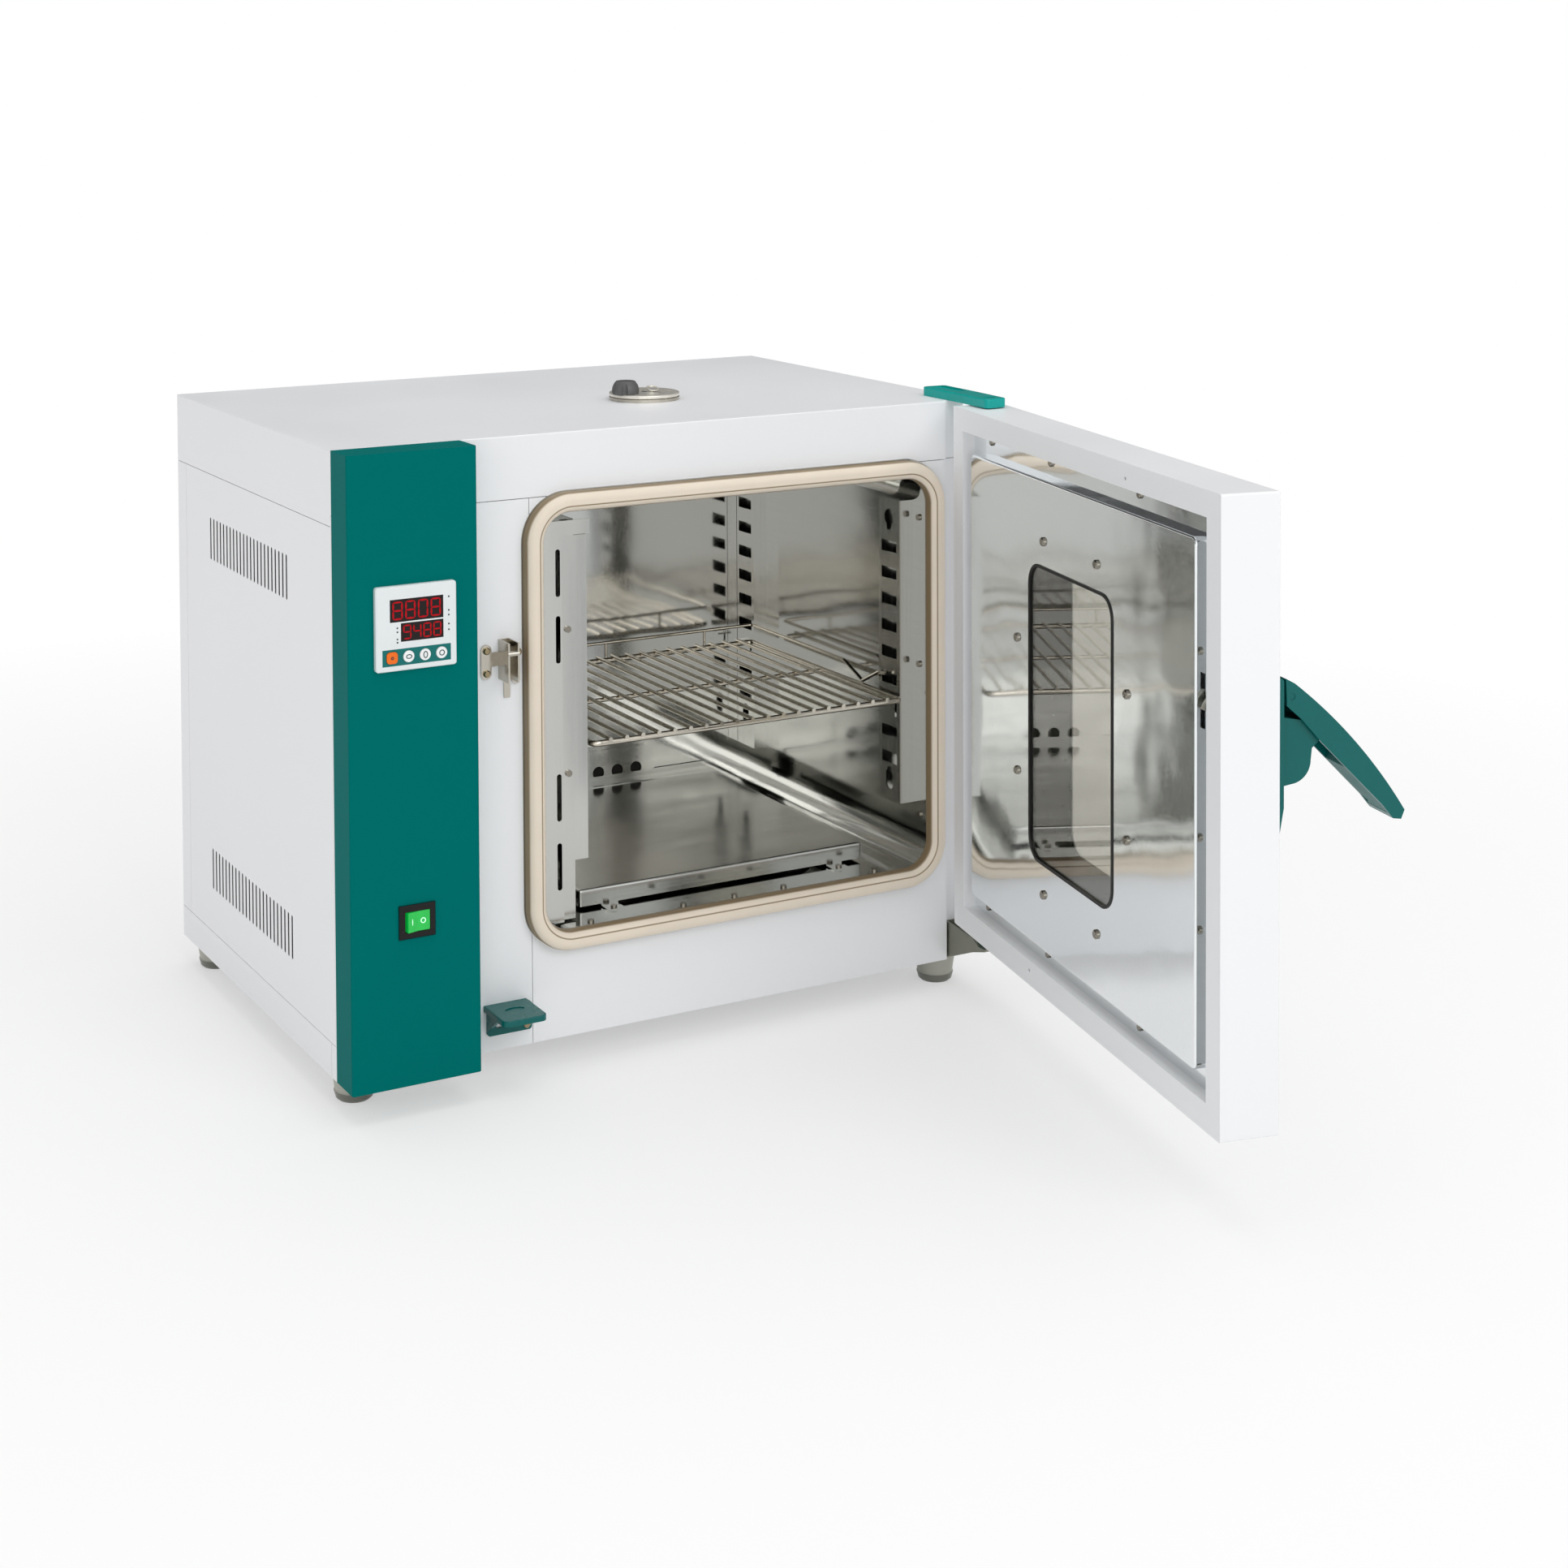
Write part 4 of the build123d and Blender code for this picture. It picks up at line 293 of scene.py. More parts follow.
def near_line(material, distance, line, outer, inner):
    """Return 1 where a distance is within inner of a line's own, and 0 where it is outer or more from it."""
    off = add_node(material, "ShaderNodeMath", {"operation": "SUBTRACT", 1: line}, {0: distance})
    size = add_node(material, "ShaderNodeMath", {"operation": "ABSOLUTE"}, {0: off.outputs[0]})
    near = add_node(
        material,
        "ShaderNodeMapRange",
        {"From Min": inner, "From Max": outer, "To Min": 1.0, "To Max": 0.0},
        {"Value": size.outputs[0]},
    )
    return near.outputs[0]


def silicone_rubber(name, colour):
    """Extruded silicone rubber: soft sheen, with painted shade in its groove and along its edges where it
    meets the sheet.
    """
    material, place = new_material(name)
    reach = gasket_reach(material, place)
    # The groove and both edges, where the rubber meets the sheet, are lines of painted shade.
    groove = near_line(material, reach, GASKET_GROOVE * MM, 0.9 * MM, 0.2 * MM)
    inner_edge = near_line(material, reach, GASKET_INNER_EDGE * MM, 1.4 * MM, 0.5 * MM)
    outer_edge = near_line(material, reach, GASKET_OUTER_EDGE * MM, 1.5 * MM, 0.5 * MM)
    edges = add_node(material, "ShaderNodeMath", {"operation": "MAXIMUM"}, {0: inner_edge, 1: outer_edge})
    painted_crease_shade = add_node(
        material, "ShaderNodeMath", {"operation": "MAXIMUM"}, {0: edges.outputs[0], 1: groove}
    )
    stains = add_node(material, "ShaderNodeTexNoise", {"Scale": 22.0, "Detail": 4.0}, {"Vector": place})
    grain = add_node(material, "ShaderNodeTexNoise", {"Scale": 500.0, "Detail": 2.0}, {"Vector": place})
    bump = add_node(
        material, "ShaderNodeBump", {"Strength": 0.15, "Distance": 0.0001}, {"Height": grain.outputs[0]}
    )
    # The brown mixed in here is painted shade along those lines; the stains are the rubber's own.
    rubber_with_crease_shade = add_node(
        material,
        "ShaderNodeMix",
        {"data_type": "RGBA", MIX_B: (*linear("#8E7B5E"), 1)},
        {0: painted_crease_shade.outputs[0], MIX_A: tinted(material, colour, stains.outputs[0], 0.05)},
    )
    shader = add_node(
        material,
        "ShaderNodeBsdfPrincipled",
        {"IOR": 1.41, "Subsurface Weight": 0.15, "Subsurface Radius": (0.004, 0.003, 0.002)},
        {
            "Base Color": rubber_with_crease_shade.outputs[MIX_RESULT],
            "Roughness": spread_out(material, stains.outputs[0], 0.38, 0.50),
            "Normal": bump.outputs[0],
        },
    )
    return finish_material(material, shader)


def lit_plastic(name, colour, glow, ior=1.58):
    """Clear coloured polycarbonate with a lamp behind it: glossy, lit from within, brighter in places."""
    material, place = new_material(name)
    lamp = add_node(material, "ShaderNodeTexNoise", {"Scale": 120.0, "Detail": 2.0}, {"Vector": place})
    lit = tinted(material, colour, lamp.outputs[0], 0.18)
    shader = add_node(
        material,
        "ShaderNodeBsdfPrincipled",
        {"IOR": ior, "Roughness": 0.18, "Emission Strength": glow},
        {"Base Color": lit, "Emission Color": lit},
    )
    return finish_material(material, shader)


def window_glass(name):
    """Toughened glass with a heat-reflecting oxide coat: polished, warm grey, stronger in its reflection."""
    material, place = new_material(name)
    smear = add_node(material, "ShaderNodeTexNoise", {"Scale": 14.0, "Detail": 4.0}, {"Vector": place})
    shader = add_node(
        material,
        "ShaderNodeBsdfPrincipled",
        {"IOR": 1.75, "Transmission Weight": 1.0, "Base Color": (0.74, 0.73, 0.68, 1)},
        {"Roughness": spread_out(material, smear.outputs[0], 0.0, 0.015)},
    )
    return finish_material(material, shader)


def matted_fibre(name, colour):
    """Pressed wool or open foam with a tangled matt surface, near-black as painted shade behind the holes of
    a sheet.
    """
    material, place = new_material(name)
    fibres = add_node(material, "ShaderNodeTexNoise", {"Scale": 700.0, "Detail": 6.0}, {"Vector": place})
    bump = add_node(
        material, "ShaderNodeBump", {"Strength": 0.7, "Distance": 0.001}, {"Height": fibres.outputs[0]}
    )
    shader = add_node(
        material,
        "ShaderNodeBsdfPrincipled",
        {"Roughness": 0.95},
        {
            "Base Color": tinted(material, colour, fibres.outputs[0], 0.3),
            "Normal": bump.outputs[0],
        },
    )
    return finish_material(material, shader)


def foot_plastic(name, colour):
    """Moulded grey foot: satin body with a darker, glossier rubber ring where it stands."""
    material, place = new_material(name)
    height = add_node(material, "ShaderNodeSeparateXYZ", links={"Vector": place})
    ring = add_node(
        material,
        "ShaderNodeMapRange",
        {
            "From Min": (FOOT_RING_HEIGHT - 0.2) * MM,
            "From Max": (FOOT_RING_HEIGHT + 0.2) * MM,
            "To Min": 1.0,
            "To Max": 0.0,
        },
        {"Value": height.outputs["Z"]},
    )
    mottle = add_node(material, "ShaderNodeTexNoise", {"Scale": 300.0, "Detail": 2.0}, {"Vector": place})
    body = tinted(material, colour, mottle.outputs[0], 0.04)
    mix = add_node(
        material,
        "ShaderNodeMix",
        {"data_type": "RGBA", MIX_B: (*linear("#77776E"), 1)},
        {0: ring.outputs[0], MIX_A: body},
    )
    gloss = add_node(
        material,
        "ShaderNodeMapRange",
        {"From Min": 0.0, "From Max": 1.0, "To Min": 0.42, "To Max": 0.16},
        {"Value": ring.outputs[0]},
    )
    shader = add_node(
        material,
        "ShaderNodeBsdfPrincipled",
        {"IOR": 1.5},
        {"Base Color": mix.outputs[MIX_RESULT], "Roughness": gloss.outputs[0]},
    )
    return finish_material(material, shader)


def dress(names, material):
    """Give CAD nodes a material."""
    for name in names:
        mesh = nodes[name].data
        mesh.materials.clear()
        mesh.materials.append(material)


def deselect():
    """Leave edit mode and deselect every object."""
    if bpy.context.object and bpy.context.object.mode != "OBJECT":
        bpy.ops.object.mode_set(mode="OBJECT")
    bpy.ops.object.select_all(action="DESELECT")


def pick(obj, test, kind="VERT"):
    """Enter edit mode on obj with only the vertices or faces selected that pass a test."""
    bpy.ops.object.mode_set(mode="OBJECT")
    mesh = obj.data
    for part in (*mesh.vertices, *mesh.edges, *mesh.polygons):
        part.select = False
    parts = mesh.vertices if kind == "VERT" else mesh.polygons
    for part in parts:
        part.select = bool(test(part))
    bpy.ops.object.mode_set(mode="EDIT")
    bpy.ops.mesh.select_mode(type=kind)


def copied(obj, name, matrix):
    """Return a copy of a piece with its own mesh, moved by a matrix."""
    other = obj.copy()
    other.data = obj.data.copy()
    bpy.context.scene.collection.objects.link(other)
    other.name = name
    other.data.transform(matrix)
    return other


def joined(pieces, name):
    """Join pieces into one object."""
    deselect()
    for piece in pieces:
        piece.select_set(True)
    bpy.context.view_layer.objects.active = pieces[0]
    if len(pieces) > 1:
        bpy.ops.object.join()
    result = bpy.context.object
    result.select_set(False)
    result.name = name
    result.data.name = name
    return result


def outward(obj):
    """Merge a mesh's doubles and turn its faces outwards."""
    pick(obj, lambda v: True)
    bpy.ops.mesh.remove_doubles(threshold=1e-6)
    bpy.ops.mesh.normals_make_consistent(inside=False)
    deselect()


def front_circle(radius, sides, stretch):
    """Return a flat filled circle that faces the front at the origin, stretched in x and z, in edit mode."""
    deselect()
    bpy.ops.mesh.primitive_circle_add(
        vertices=sides, radius=radius, fill_type="NGON", rotation=(pi / 2, 0, 0)
    )
    circle = bpy.context.object
    bpy.ops.object.transform_apply(rotation=True)
    pick(circle, lambda v: True)
    bpy.ops.transform.resize(value=(stretch[0], 1, stretch[1]), center_override=(0, 0, 0))
    return circle


def border_only(piece, width):
    """Remove the middle of a flat piece in edit mode, so that a border of a width stays."""
    bpy.ops.mesh.select_mode(type="FACE")
    bpy.ops.mesh.select_all(action="SELECT")
    bpy.ops.mesh.inset(thickness=width)
    pick(piece, lambda f: len(f.vertices) > 4, "FACE")
    bpy.ops.mesh.delete(type="FACE")


def drawn_out(piece, depth):
    """Draw a flat piece in edit mode out to the front by a depth, leave edit mode and return it."""
    bpy.ops.mesh.select_all(action="SELECT")
    bpy.ops.mesh.extrude_region_move(TRANSFORM_OT_translate={"value": (0, -depth, 0)})
    deselect()
    outward(piece)
    return piece


def front_disc(radius, depth, sides, stretch=(1, 1)):
    """Return a flat disc that faces the front at the origin, its back at y 0 and its face at minus depth."""
    return drawn_out(front_circle(radius, sides, stretch), depth)


def front_ring(radius, width, depth, sides=40, stretch=(1, 1)):
    """Return a flat ring that faces the front, cut from a disc by an inset whose middle is removed."""
    ring = front_circle(radius, sides, stretch)
    border_only(ring, width)
    return drawn_out(ring, depth)


def front_bar(length, width, depth):
    """Return a pointed bar along x that faces the front, drawn out from a six-sided disc."""
    bar = front_disc(width / 2, depth, 6)
    half = (length - width) / 2
    for side in (-1, 1):
        pick(bar, lambda v: v.co.x * side > width / 8)
        bpy.ops.transform.translate(value=(side * half, 0, 0))
    deselect()
    return bar


SEGMENTS = {
    "0": "abcdef", "2": "abdeg", "4": "bcfg", "5": "acdfg", "7": "abc", "8": "abcdefg", "9": "abcdfg",
}


def digit_row(text, height, pitch, first, depth, width, name):
    """Return a row of seven-segment digits, each segment a copy of a long or a short pointed bar."""
    gap = 0.15 * width
    digit_width = height * 0.56
    bar = front_bar(height / 2 - gap, width, depth)
    short = front_bar(digit_width - 2 * gap, width, depth)
    upright = Matrix.Rotation(pi / 2, 4, "Y")
    half_x = digit_width / 2
    quarter = height / 4
    places = {
        "a": (short, Matrix.Translation((0, 0, 2 * quarter))),
        "g": (short, Matrix.Identity(4)),
        "d": (short, Matrix.Translation((0, 0, -2 * quarter))),
        "f": (bar, Matrix.Translation((-half_x, 0, quarter)) @ upright),
        "b": (bar, Matrix.Translation((half_x, 0, quarter)) @ upright),
        "e": (bar, Matrix.Translation((-half_x, 0, -quarter)) @ upright),
        "c": (bar, Matrix.Translation((half_x, 0, -quarter)) @ upright),
    }
    pieces = []
    for index, digit in enumerate(text):
        centre = Matrix.Translation(Vector(first) + Vector((index * pitch, 0, 0)))
        for segment in SEGMENTS[digit]:
            source, place = places[segment]
            pieces.append(copied(source, name, centre @ place))
    for source in (bar, short):
        bpy.data.objects.remove(source)
    return joined(pieces, name)


def rounded_plate(width, height, radius, depth, lip=0.0):
    """Return a plate with round corners that faces the front, or with a lip only its border."""
    deselect()
    bpy.ops.mesh.primitive_plane_add(size=1, rotation=(pi / 2, 0, 0))
    plate = bpy.context.object
    bpy.ops.object.transform_apply(rotation=True)
    pick(plate, lambda v: True)
    bpy.ops.transform.resize(value=(width, 1, height), center_override=(0, 0, 0))
    bpy.ops.mesh.bevel(offset=radius, segments=8, affect="VERTICES")
    if lip:
        border_only(plate, lip)
    return drawn_out(plate, depth)


def folded_strip(length, depth, lip, sheet):
    """Return a strip along x that lies flat from y 0 to its depth, where a lip is bent up."""
    deselect()
    bpy.ops.mesh.primitive_plane_add(size=1)
    strip = bpy.context.object
    pick(strip, lambda v: True)
    bpy.ops.transform.resize(value=(length, depth, 1), center_override=(0, 0, 0))
    bpy.ops.transform.translate(value=(0, depth / 2, 0))
    pick(strip, lambda v: v.co.y > depth / 2)
    bpy.ops.mesh.extrude_region_move(TRANSFORM_OT_translate={"value": (0, 0, lip)})
    bpy.ops.mesh.select_all(action="SELECT")
    bpy.ops.mesh.solidify(thickness=sheet)
    deselect()
    outward(strip)
    return strip


def placed(piece, name, matrix, body, material):
    """Move a finished piece's mesh to its place, and give it its name, body, slot and material."""
    piece.data.transform(matrix)
    piece.name = name
    piece.data.name = name
    piece.data.materials.append(material)
    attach(piece, body)


def cab(x, y, z):
    """Turn millimetres from the casing's left front lower corner into the frame's metres."""
    return Vector([(value - zero) * MM for value, zero in zip((x, y, z), FRAME_ORIGIN)])


def door_place(x, y, z):
    """Return the matrix that takes a piece from the origin to its place on the open door."""
    hinge = Matrix.Translation(cab(*DOOR_HINGE))
    swing = Matrix.Rotation(DOOR_ANGLE, 4, "Z")
    return hinge @ swing @ hinge.inverted() @ Matrix.Translation(cab(x, y, z))


def lay_on(obj, node, lift):
    """Move each vertex of a mark back onto a CAD node's front surface, keeping its own depth."""
    mesh = nodes[node].data
    tree = BVHTree.FromPolygons([v.co for v in mesh.vertices], [p.vertices[:] for p in mesh.polygons])
    back = max(v.co.y for v in obj.data.vertices)
    for vertex in obj.data.vertices:
        start = Vector((vertex.co.x, vertex.co.y - 0.05, vertex.co.z))
        hit = tree.ray_cast(start, Vector((0, 1, 0)))[0]
        if hit:
            vertex.co.y = hit.y - lift + (vertex.co.y - back)


class PaintCasing(bpy.types.Operator):
    """Paint the casing's sheet metal white, and the control column teal"""

    bl_idname = "oven.paint_casing"
    bl_label = "Paint casing"

    def execute(self, context):
        white = powder_coat("powder_coated_steel_white", tuple(colours().casing), 1.4, 0.34)
        panels = (
            "top_cover", "front_fascia", "control_bay_front", "left_side_panel", "right_side_panel",
            "rear_panel", "base_pan", "door_shell",
        )
        dress(panels, white)
        teal = powder_coat("powder_coated_steel_teal", tuple(colours().column), 1.06, 0.36)
        dress(["control_column"], teal)
        return {"FINISHED"}


class FinishChamber(bpy.types.Operator):
    """Give the chamber, its racks, the heater cover and the door tray their rolled steel"""

    bl_idname = "oven.finish_chamber"
    bl_label = "Finish chamber"

    def execute(self, context):
        steel = tuple(colours().steel)
        dress(["chamber_liner"], rolled_steel("stainless_sheet_deep_drawn", steel, 0.10, "Y", 0.25))
        dress(["duct_panel"], rolled_steel("stainless_sheet_folded", steel, 0.16, "Z", 0.25))
        dress(["heater_cover"], rolled_steel("stainless_cover_folded", steel, 0.13, "X", 0.3))
        uprights = [n for n in nodes if n.startswith("rack_upright")]
        dress([*uprights, "shelf_clips"], rolled_steel("stainless_channel_pressed", steel, 0.14, "Z", 0.1))
        # The tray's steel is lighter than the chamber's stainless: painted reflection that brightens its
        # mirror face.
        tray = rolled_steel("stainless_tray_painted_reflection", linear("#F0F3F4"), 0.09, "X", 0.22)
        dress(["door_tray"], tray)
        dress(["window_spacer"], plated_steel("blackened_spacer_steel", linear("#3B3C3A"), 0.32))
        wire = plated_steel("nickel_chrome_plated_wire", linear("#C6BFB2"), 0.09)
        dress(["wire_shelf", "shelf_guard"], wire)
        dress(["heater_elements"], plated_steel("nickel_alloy_heater_sheath", linear("#4B4844"), 0.5))
        dress(["temperature_probe"], plated_steel("stainless_probe_drawn", linear("#B4B4B2"), 0.25))
        # The insulation is near-black as painted shade, so that the holes of the sheet before it show dark.
        wool = matted_fibre("mineral_wool_painted_shade", linear("#1B1A18"))
        dress(["chamber_insulation", "door_insulation"], wool)
        dress(["door_gasket"], silicone_rubber("silicone_rubber_extruded", tuple(colours().gasket)))
        dress(["inner_glass", "outer_glass"], window_glass("float_glass_heat_reflecting"))
        return {"FINISHED"}


class FinishFittings(bpy.types.Operator):
    """Give the plastics, hinges, latch, vent and feet their finishes"""

    bl_idname = "oven.finish_fittings"
    bl_label = "Finish fittings"

    def execute(self, context):
        # The handle, hinge cover and door rest get a darker copy of the teal as painted shade, and the hinge
        # arm a brighter copy as painted highlight.
        teal = moulded_plastic("abs_moulded_teal", tuple(colours().fittings), 0.26)
        dress(["lower_hinge_cover", "door_rest", "handle_housing", "handle_lever"], teal)
        dress(["hinge_arm"], moulded_plastic("abs_moulded_teal_painted_highlight", tuple(colours().hinge_arm), 0.22))
        dress(["lever_grip"], moulded_plastic("soft_grip_moulded_teal", linear("#00605D"), 0.45))
        dress(["keypad_strip"], moulded_plastic("polyester_overlay_teal", linear("#006C69"), 0.40))
        dress(["controller_case"], moulded_plastic("abs_moulded_pale", tuple(colours().bezel), 0.34))
        black = moulded_plastic("nylon_moulded_black", linear("#0C0B0B"), 0.3)
        dress(["switch_housing", "mains_gland"], black)
        dress(["key_1"], moulded_plastic("silicone_key_orange", tuple(colours().orange_key), 0.42))
        dress(["key_2", "key_3", "key_4"], moulded_plastic("silicone_key_white", linear("#F1F4F4"), 0.42))
        dress(["display_windows"], moulded_plastic("acrylic_window_smoked", linear("#150405"), 0.12))
        dress(["rocker"], lit_plastic("polycarbonate_rocker_green", tuple(colours().rocker), 0.45))
        # The foot body's lighter grey is painted light against the shade under the casing.
        dress(["feet"], foot_plastic("polyamide_foot_grey", tuple(colours().feet)))
        dress(["vent_knob"], moulded_plastic("phenolic_knob_grey", linear("#5E5E5E"), 0.38))
        chrome = plated_steel("chrome_plated_steel", linear("#B7B2A7"), 0.14)
        dress(["vent_collar", "strike_plate"], chrome)
        # The disc is half diffuse so that the top lamp lights it, as a painted reflection in place of the
        # bright surroundings that it would mirror.
        dress(["vent_disc"], plated_steel("nickel_plated_disc_painted_reflection", linear("#E2DED4"), 0.20, 0.45))
        zinc = plated_steel("zinc_plated_steel", linear("#B8B6AC"), 0.32)
        dress(["control_bay_wall", "hinge_pins", "latch_bracket", "latch_hook", "fan_wheel"], zinc)
        dress(["fan_motor"], plated_steel("motor_case_pressed_steel", linear("#8E9094"), 0.42))
        dress(["lower_hinge_bracket"], plated_steel("hinge_bracket_grey_steel", linear("#8F8F84"), 0.45))
        screw = plated_steel("screw_steel_bronze_tinted", linear("#97886B"), 0.22)
        dress(["casing_screws"], screw)
        bright = plated_steel("screw_steel_bright", linear("#8F8A80"), 0.20)
        dress(["chamber_screws", "tray_screws", "window_bolts"], bright)
        return {"FINISHED"}


class AddSeals(bpy.types.Operator):
    """Add the window's lip, the strip behind the heater cover and near-black pads behind the side vents, as
    painted shade in their slots
    """

    bl_idname = "oven.add_seals"
    bl_label = "Add seals"

    def execute(self, context):
        self.add_window_lip()
        self.add_steel_strips()
        self.add_vent_shade_pads()
        return {"FINISHED"}

    def add_window_lip(self):
        """Add the black lip that holds the window, on the door's inner face."""
        rubber = moulded_plastic("silicone_lip_black", linear("#1D1D1C"), 0.40)
        width, height = WINDOW_OPENING
        seal = rounded_plate(width * MM, height * MM, WINDOW_CORNER * MM, 1.4 * MM, sizes().seal_lip)
        place = door_place(*WINDOW_MIDDLE) @ Matrix.Rotation(pi, 4, "Z")
        placed(seal, "window_lip", place, "door", rubber)

    def add_steel_strips(self):
        """Add the strips that close the gaps between the back wall and what stands before it."""
        sheet = sizes().strip_sheet
        steel = rolled_steel("stainless_strip_folded", tuple(colours().steel), 0.13, "X", 0.2)
        wall = cab(*BACK_WALL).y - 0.3 * MM
        low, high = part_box("heater_cover")
        lap = 3 * MM
        strip = folded_strip(high.x - low.x, wall - high.y + lap, 5 * MM, sheet)
        place = Matrix.Translation(((low.x + high.x) / 2, high.y - lap, high.z + sheet))
        placed(strip, "heater_cover_rear_strip", place, "cabinet", steel)
        for side, turn in (("left", pi / 2), ("right", -pi / 2)):
            low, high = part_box(f"rack_upright_rear_{side}")
            face_x = high.x if side == "left" else low.x
            flange = folded_strip(high.z - low.z, wall + lap - high.y, 7 * MM, sheet)
            middle = Matrix.Translation((face_x, high.y - 1 * MM, (low.z + high.z) / 2))
            place = middle @ Matrix.Rotation(turn, 4, "Y")
            placed(flange, f"upright_flange_{side}", place, "cabinet", steel)

    def add_vent_shade_pads(self):
        """Add a near-black foam pad behind each row of side vents as painted shade, which swells through each
        slot almost to its face so that the slots show dark.
        """
        foam = matted_fibre("vent_slot_painted_shade", linear("#141414"))
        margin = 2 * sizes().shade_pad_margin
        quarter_turn = Matrix.Rotation(-pi / 2, 4, "Z")
        for row, z, slots, height in (("upper", 409.0, 23, 40.0), ("lower", 91.5, 24, 39.0)):
            width = slots * VENT_SLOT_PITCH * MM
            pads = [rounded_plate(width + margin, height * MM + margin, 4 * MM, 4 * MM)]
            bulge = rounded_plate(VENT_SLOT_WIDTH * MM, (height - 0.1) * MM, 1.8 * MM, 1.5 * MM)
            for index in range(slots):
                along = (index - (slots - 1) / 2) * VENT_SLOT_PITCH * MM
                pads.append(copied(bulge, "bulge", Matrix.Translation((along, -3.8 * MM, 0))))
            bpy.data.objects.remove(bulge)
            pad = joined(pads, f"vent_shade_pad_{row}")
            place = Matrix.Translation(cab(*VENT_SHADE_PAD_MIDDLE, z)) @ quarter_turn
            placed(pad, f"vent_shade_pad_{row}", place, "cabinet", foam)


class AddDisplay(bpy.types.Operator):
    """Add the lit digits and the small lamps of the temperature controller"""

    bl_idname = "oven.add_display"
    bl_label = "Add display"

    def execute(self, context):
        depth, width = sizes().mark_depth, sizes().segment_width
        lit = lit_plastic("led_segments_red", tuple(colours().digits), 0.3, 1.1)
        rows = (
            ("main_display_digits", "8808", sizes().main_digit_height, 11.4, (41.9, 403.5), width),
            ("set_display_digits", "9488", sizes().set_digit_height, 9.0, (50.4, 385), width * 0.85),
        )
        for name, text, height, pitch, (x, z), bar_width in rows:
            first = cab(x, DISPLAY_FACE_Y, z) - Vector((0, depth / 4, 0))
            row = digit_row(text, height, pitch * MM, first, depth, bar_width, name)
            placed(row, name, Matrix.Identity(4), "cabinet", lit)
        dark = moulded_plastic("printed_ink_dark", linear("#2C3335"), 0.5)
        right_lamps = [(88.0, 411.0), (87.9, 399.5), (87.9, 395.6), (87.9, 388.0), (87.9, 383.2)]
        left_lamps = [(41.6, 389.0), (41.6, 385.6), (41.6, 379.6), (41.6, 376.9)]
        dot = front_disc(sizes().lamp_radius, depth, 20)
        dots = []
        for x, z in right_lamps + left_lamps:
            dots.append(copied(dot, "controller_lamps", Matrix.Translation(cab(x, DISPLAY_FACE_Y, z))))
        bpy.data.objects.remove(dot)
        lamps = joined(dots, "controller_lamps")
        placed(lamps, "controller_lamps", Matrix.Identity(4), "cabinet", dark)
        return {"FINISHED"}


class AddKeyMarks(bpy.types.Operator):
    """Add the dark oval rings printed on the controller's keys"""

    bl_idname = "oven.add_key_marks"
    bl_label = "Add key marks"

    def execute(self, context):
        ink = moulded_plastic("printed_ink_teal_black", linear("#20393A"), 0.5)
        key_z = 364.5
        marks = (
            ("key_one_mark", "key_one", "key_1", 36.6, (0.9, 0.9), 1.5),
            ("key_two_mark", "key_two", "key_2", 51.4, (1.15, 0.8), 2.4),
            ("key_three_mark", "key_three", "key_3", 66.2, (0.8, 1.15), 2.6),
            ("key_four_mark", "key_four", "key_4", 81.0, (1.0, 1.0), 2.5),
        )
        for name, body, node, x, stretch, radius in marks:
            middle = cab(x, 0, key_z)
            middle.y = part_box(node)[0].y
            ring = front_ring(radius * MM, 0.75 * MM, sizes().mark_depth, 36, stretch)
            placed(ring, name, Matrix.Translation(middle), body, ink)
        return {"FINISHED"}


class AddSwitchMarks(bpy.types.Operator):
    """Add the on bar and the off ring that are moulded on the green rocker"""

    bl_idname = "oven.add_switch_marks"
    bl_label = "Add switch marks"

    def execute(self, context):
        depth, mark_z = sizes().mark_depth, 139.5
        pale = lit_plastic("moulded_mark_pale", linear("#BFF5D2"), 0.5)
        ring = front_ring(2.4 * MM, 0.8 * MM, depth)
        bar = front_bar(5.6 * MM, 0.9 * MM, depth)
        off_place = Matrix.Translation(cab(63.5, ROCKER_FRONT_Y, mark_z))
        on_place = Matrix.Translation(cab(53.3, ROCKER_FRONT_Y, mark_z)) @ Matrix.Rotation(pi / 2, 4, "Y")
        marks = (("rocker_off_ring", ring, off_place), ("rocker_on_bar", bar, on_place))
        for name, mark, place in marks:
            mark.data.transform(place)
            lay_on(mark, "rocker", 0.02 * MM)
            placed(mark, name, Matrix.Identity(4), "switch_rocker", pale)
        return {"FINISHED"}


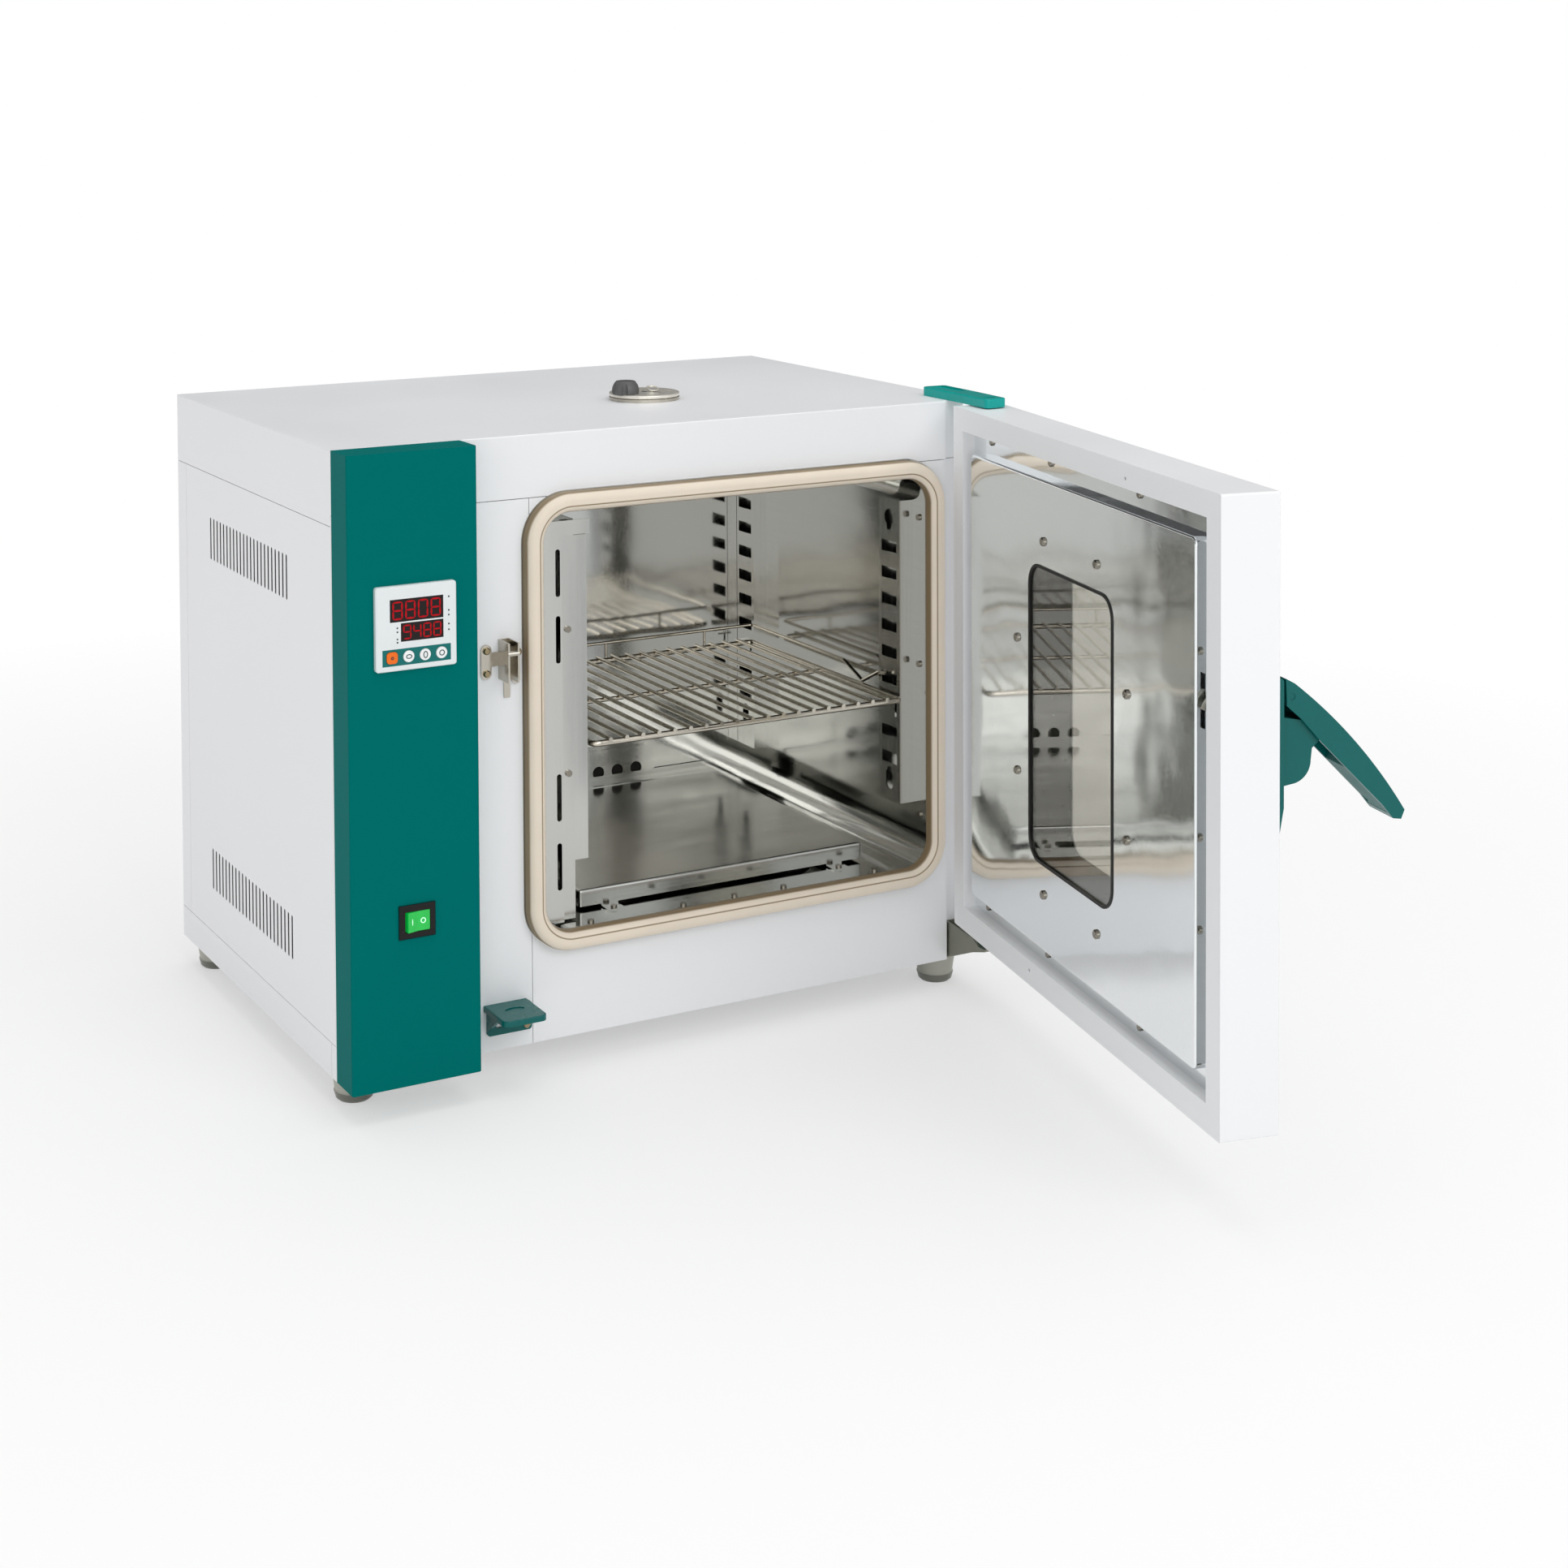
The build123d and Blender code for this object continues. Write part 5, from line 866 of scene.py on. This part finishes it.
class SetStage(bpy.types.Operator):
    """Set the pale floor, the soft lamps, the white surroundings and the camera"""

    bl_idname = "oven.set_stage"
    bl_label = "Set stage"

    def execute(self, context):
        deselect()
        bpy.ops.mesh.primitive_plane_add(size=sizes().floor_size)
        floor = bpy.context.object
        floor.name = "studio_floor"
        floor.data.materials.append(self.floor_paper())
        self.add_lamps()
        self.set_world()
        self.add_camera()
        context.scene.view_settings.view_transform = "Standard"
        return {"FINISHED"}

    def floor_paper(self):
        """Return matt white paper that keeps the oven's shadow near it and fades to plain white."""
        material, place = new_material("studio_floor_matt_paper")
        fleck = add_node(material, "ShaderNodeTexNoise", {"Scale": 3.0}, {"Vector": place})
        matt = add_node(
            material,
            "ShaderNodeBsdfDiffuse",
            links={"Color": tinted(material, (0.90, 0.90, 0.90), fleck.outputs[0], 0.003)},
        )
        path = add_node(material, "ShaderNodeLightPath")
        seen = add_node(
            material,
            "ShaderNodeMath",
            {"operation": "MAXIMUM"},
            {0: path.outputs["Is Camera Ray"], 1: path.outputs["Is Glossy Ray"]},
        )
        seen = add_node(
            material,
            "ShaderNodeMath",
            {"operation": "MAXIMUM"},
            {0: seen.outputs[0], 1: path.outputs["Is Transmission Ray"]},
        )
        reach = add_node(material, "ShaderNodeVectorMath", {"operation": "LENGTH"}, {0: place})
        far = add_node(
            material,
            "ShaderNodeMapRange",
            {"From Min": 0.55, "From Max": 1.7, "To Min": 0.45, "To Max": 1.0},
            {"Value": reach.outputs["Value"]},
        )
        shown = add_node(
            material, "ShaderNodeMath", {"operation": "MULTIPLY"}, {0: seen.outputs[0], 1: far.outputs[0]}
        )
        white = add_node(material, "ShaderNodeEmission", {"Color": (1, 1, 1, 1), "Strength": 1.0})
        mixed = add_node(
            material,
            "ShaderNodeMixShader",
            links={0: shown.outputs[0], 1: matt.outputs[0], 2: white.outputs[0]},
        )
        return finish_material(material, mixed)

    def add_lamps(self):
        """Add four large soft lamps, named for where they stand."""
        lamps = (
            ("key_lamp", (0.4, -3.4, 2.4), (2.4, 1.6), 32),
            ("low_front_lamp", (-1.4, -3.2, 0.7), (2.2, 0.9), 9),
            ("left_lamp", (-3.2, -0.6, 1.8), (2.0, 1.6), 7),
            ("top_lamp", (0.2, -0.2, 3.4), (2.6, 2.6), 22),
        )
        target = Vector((0.05, -0.1, 0.3))
        for name, place, size, power in lamps:
            light = bpy.data.lights.new(name, "AREA")
            light.shape = "RECTANGLE"
            light.size, light.size_y = size
            light.energy = power
            lamp = bpy.data.objects.new(name, light)
            bpy.context.scene.collection.objects.link(lamp)
            facing = (target - Vector(place)).to_track_quat("-Z", "Y").to_matrix().to_4x4()
            lamp.matrix_world = Matrix.Translation(place) @ facing

    def set_world(self):
        """Set white surroundings for the eye, and a soft room for the light and the reflections."""
        world = bpy.data.worlds.new("studio")
        bpy.context.scene.world = world
        world.use_nodes = True
        world.node_tree.nodes.clear()
        path = add_node(world, "ShaderNodeLightPath")
        seen = add_node(
            world,
            "ShaderNodeMath",
            {"operation": "MAXIMUM"},
            {0: path.outputs["Is Camera Ray"], 1: path.outputs["Is Transmission Ray"]},
        )
        direction = add_node(world, "ShaderNodeTexCoord").outputs["Generated"]
        axes = add_node(world, "ShaderNodeSeparateXYZ", links={"Vector": direction})
        rise = add_node(
            world,
            "ShaderNodeMapRange",
            {"From Min": -0.1, "From Max": 0.9, "To Min": 0.38, "To Max": 0.80},
            {"Value": axes.outputs["Z"]},
        )
        ahead = add_node(
            world,
            "ShaderNodeMapRange",
            {"From Min": -0.85, "From Max": 0.0, "To Min": 1.30, "To Max": 0.08},
            {"Value": axes.outputs["Y"]},
        )
        mirrored = add_node(
            world,
            "ShaderNodeMix",
            {"data_type": "FLOAT"},
            {0: path.outputs["Is Glossy Ray"], 2: rise.outputs[0], 3: ahead.outputs[0]},
        )
        room = add_node(
            world, "ShaderNodeBackground", {"Color": (1, 1, 1, 1)}, {"Strength": mirrored.outputs[0]}
        )
        white = add_node(world, "ShaderNodeBackground", {"Color": (1, 1, 1, 1), "Strength": 1.0})
        mixed = add_node(
            world,
            "ShaderNodeMixShader",
            links={0: seen.outputs[0], 1: room.outputs[0], 2: white.outputs[0]},
        )
        add_node(world, "ShaderNodeOutputWorld", links={"Surface": mixed.outputs[0]})

    def add_camera(self):
        """Add the camera at the photograph's place and angle, with the slope that its shift gives."""
        place = (-1.08187, -2.2446, 0.88547)
        turn, drop, roll = -0.489, 0.0365, -0.0058
        focal, shift_x, shift_y, sensor = 59.41, 0.0722, -0.4009, 36.0
        ahead = Vector((-sin(turn) * cos(drop), cos(turn) * cos(drop), -sin(drop)))
        level = Vector((cos(turn), sin(turn), 0))
        above = level.cross(ahead)
        right = cos(roll) * level + sin(roll) * above
        up = cos(roll) * above - sin(roll) * level
        # The photograph's verticals stay parallel, as with a lens that is shifted on its sensor. Here the
        # view's middle leans off the sensor's axis instead, so that the lens needs no shift of its own.
        middle = focal * ahead + sensor * shift_x * right + sensor * shift_y * up
        lens = bpy.data.cameras.new("photo_camera")
        lens.sensor_width = sensor
        lens.lens = middle.length
        lens.clip_end = 100.0
        camera = bpy.data.objects.new("photo_camera", lens)
        mount = bpy.data.objects.new("photo_camera_mount", None)
        for obj in (camera, mount):
            bpy.context.scene.collection.objects.link(obj)
        leaning = Matrix((right, up, -middle.normalized())).transposed().to_4x4()
        camera.parent = mount
        camera.matrix_parent_inverse = Matrix.Translation(place) @ leaning
        bpy.context.scene.camera = camera


OPERATORS = (
    PaintCasing, FinishChamber, FinishFittings, AddSeals, AddDisplay, AddKeyMarks, AddSwitchMarks, SetStage,
)


class OvenPanel(bpy.types.Panel):
    """Sidebar panel that lists the steps that dress the oven"""

    bl_idname = "OVEN_PT_looks"
    bl_label = "Drying Oven"
    bl_space_type = "VIEW_3D"
    bl_region_type = "UI"
    bl_category = "Drying Oven"

    def draw(self, context):
        for operator in OPERATORS:
            self.layout.operator(operator.bl_idname)
        for group in (context.scene.oven_colours, context.scene.oven_sizes):
            for name in group.bl_rna.properties.keys():
                if name not in ("rna_type", "name"):
                    self.layout.prop(group, name)


CLASSES = (OvenColours, OvenSizes, *OPERATORS, OvenPanel)


def register():
    """Register the settings, the operators and the panel."""
    for cls in CLASSES:
        bpy.utils.register_class(cls)
    bpy.types.Scene.oven_colours = bpy.props.PointerProperty(type=OvenColours)
    bpy.types.Scene.oven_sizes = bpy.props.PointerProperty(type=OvenSizes)


def unregister():
    """Remove what register added."""
    del bpy.types.Scene.oven_sizes
    del bpy.types.Scene.oven_colours
    for cls in reversed(CLASSES):
        bpy.utils.unregister_class(cls)


def main():
    """Dress the oven step by step."""
    register()
    for operator in OPERATORS:
        group, name = operator.bl_idname.split(".")
        getattr(getattr(bpy.ops, group), name)()


if __name__ == "__main__":
    main()
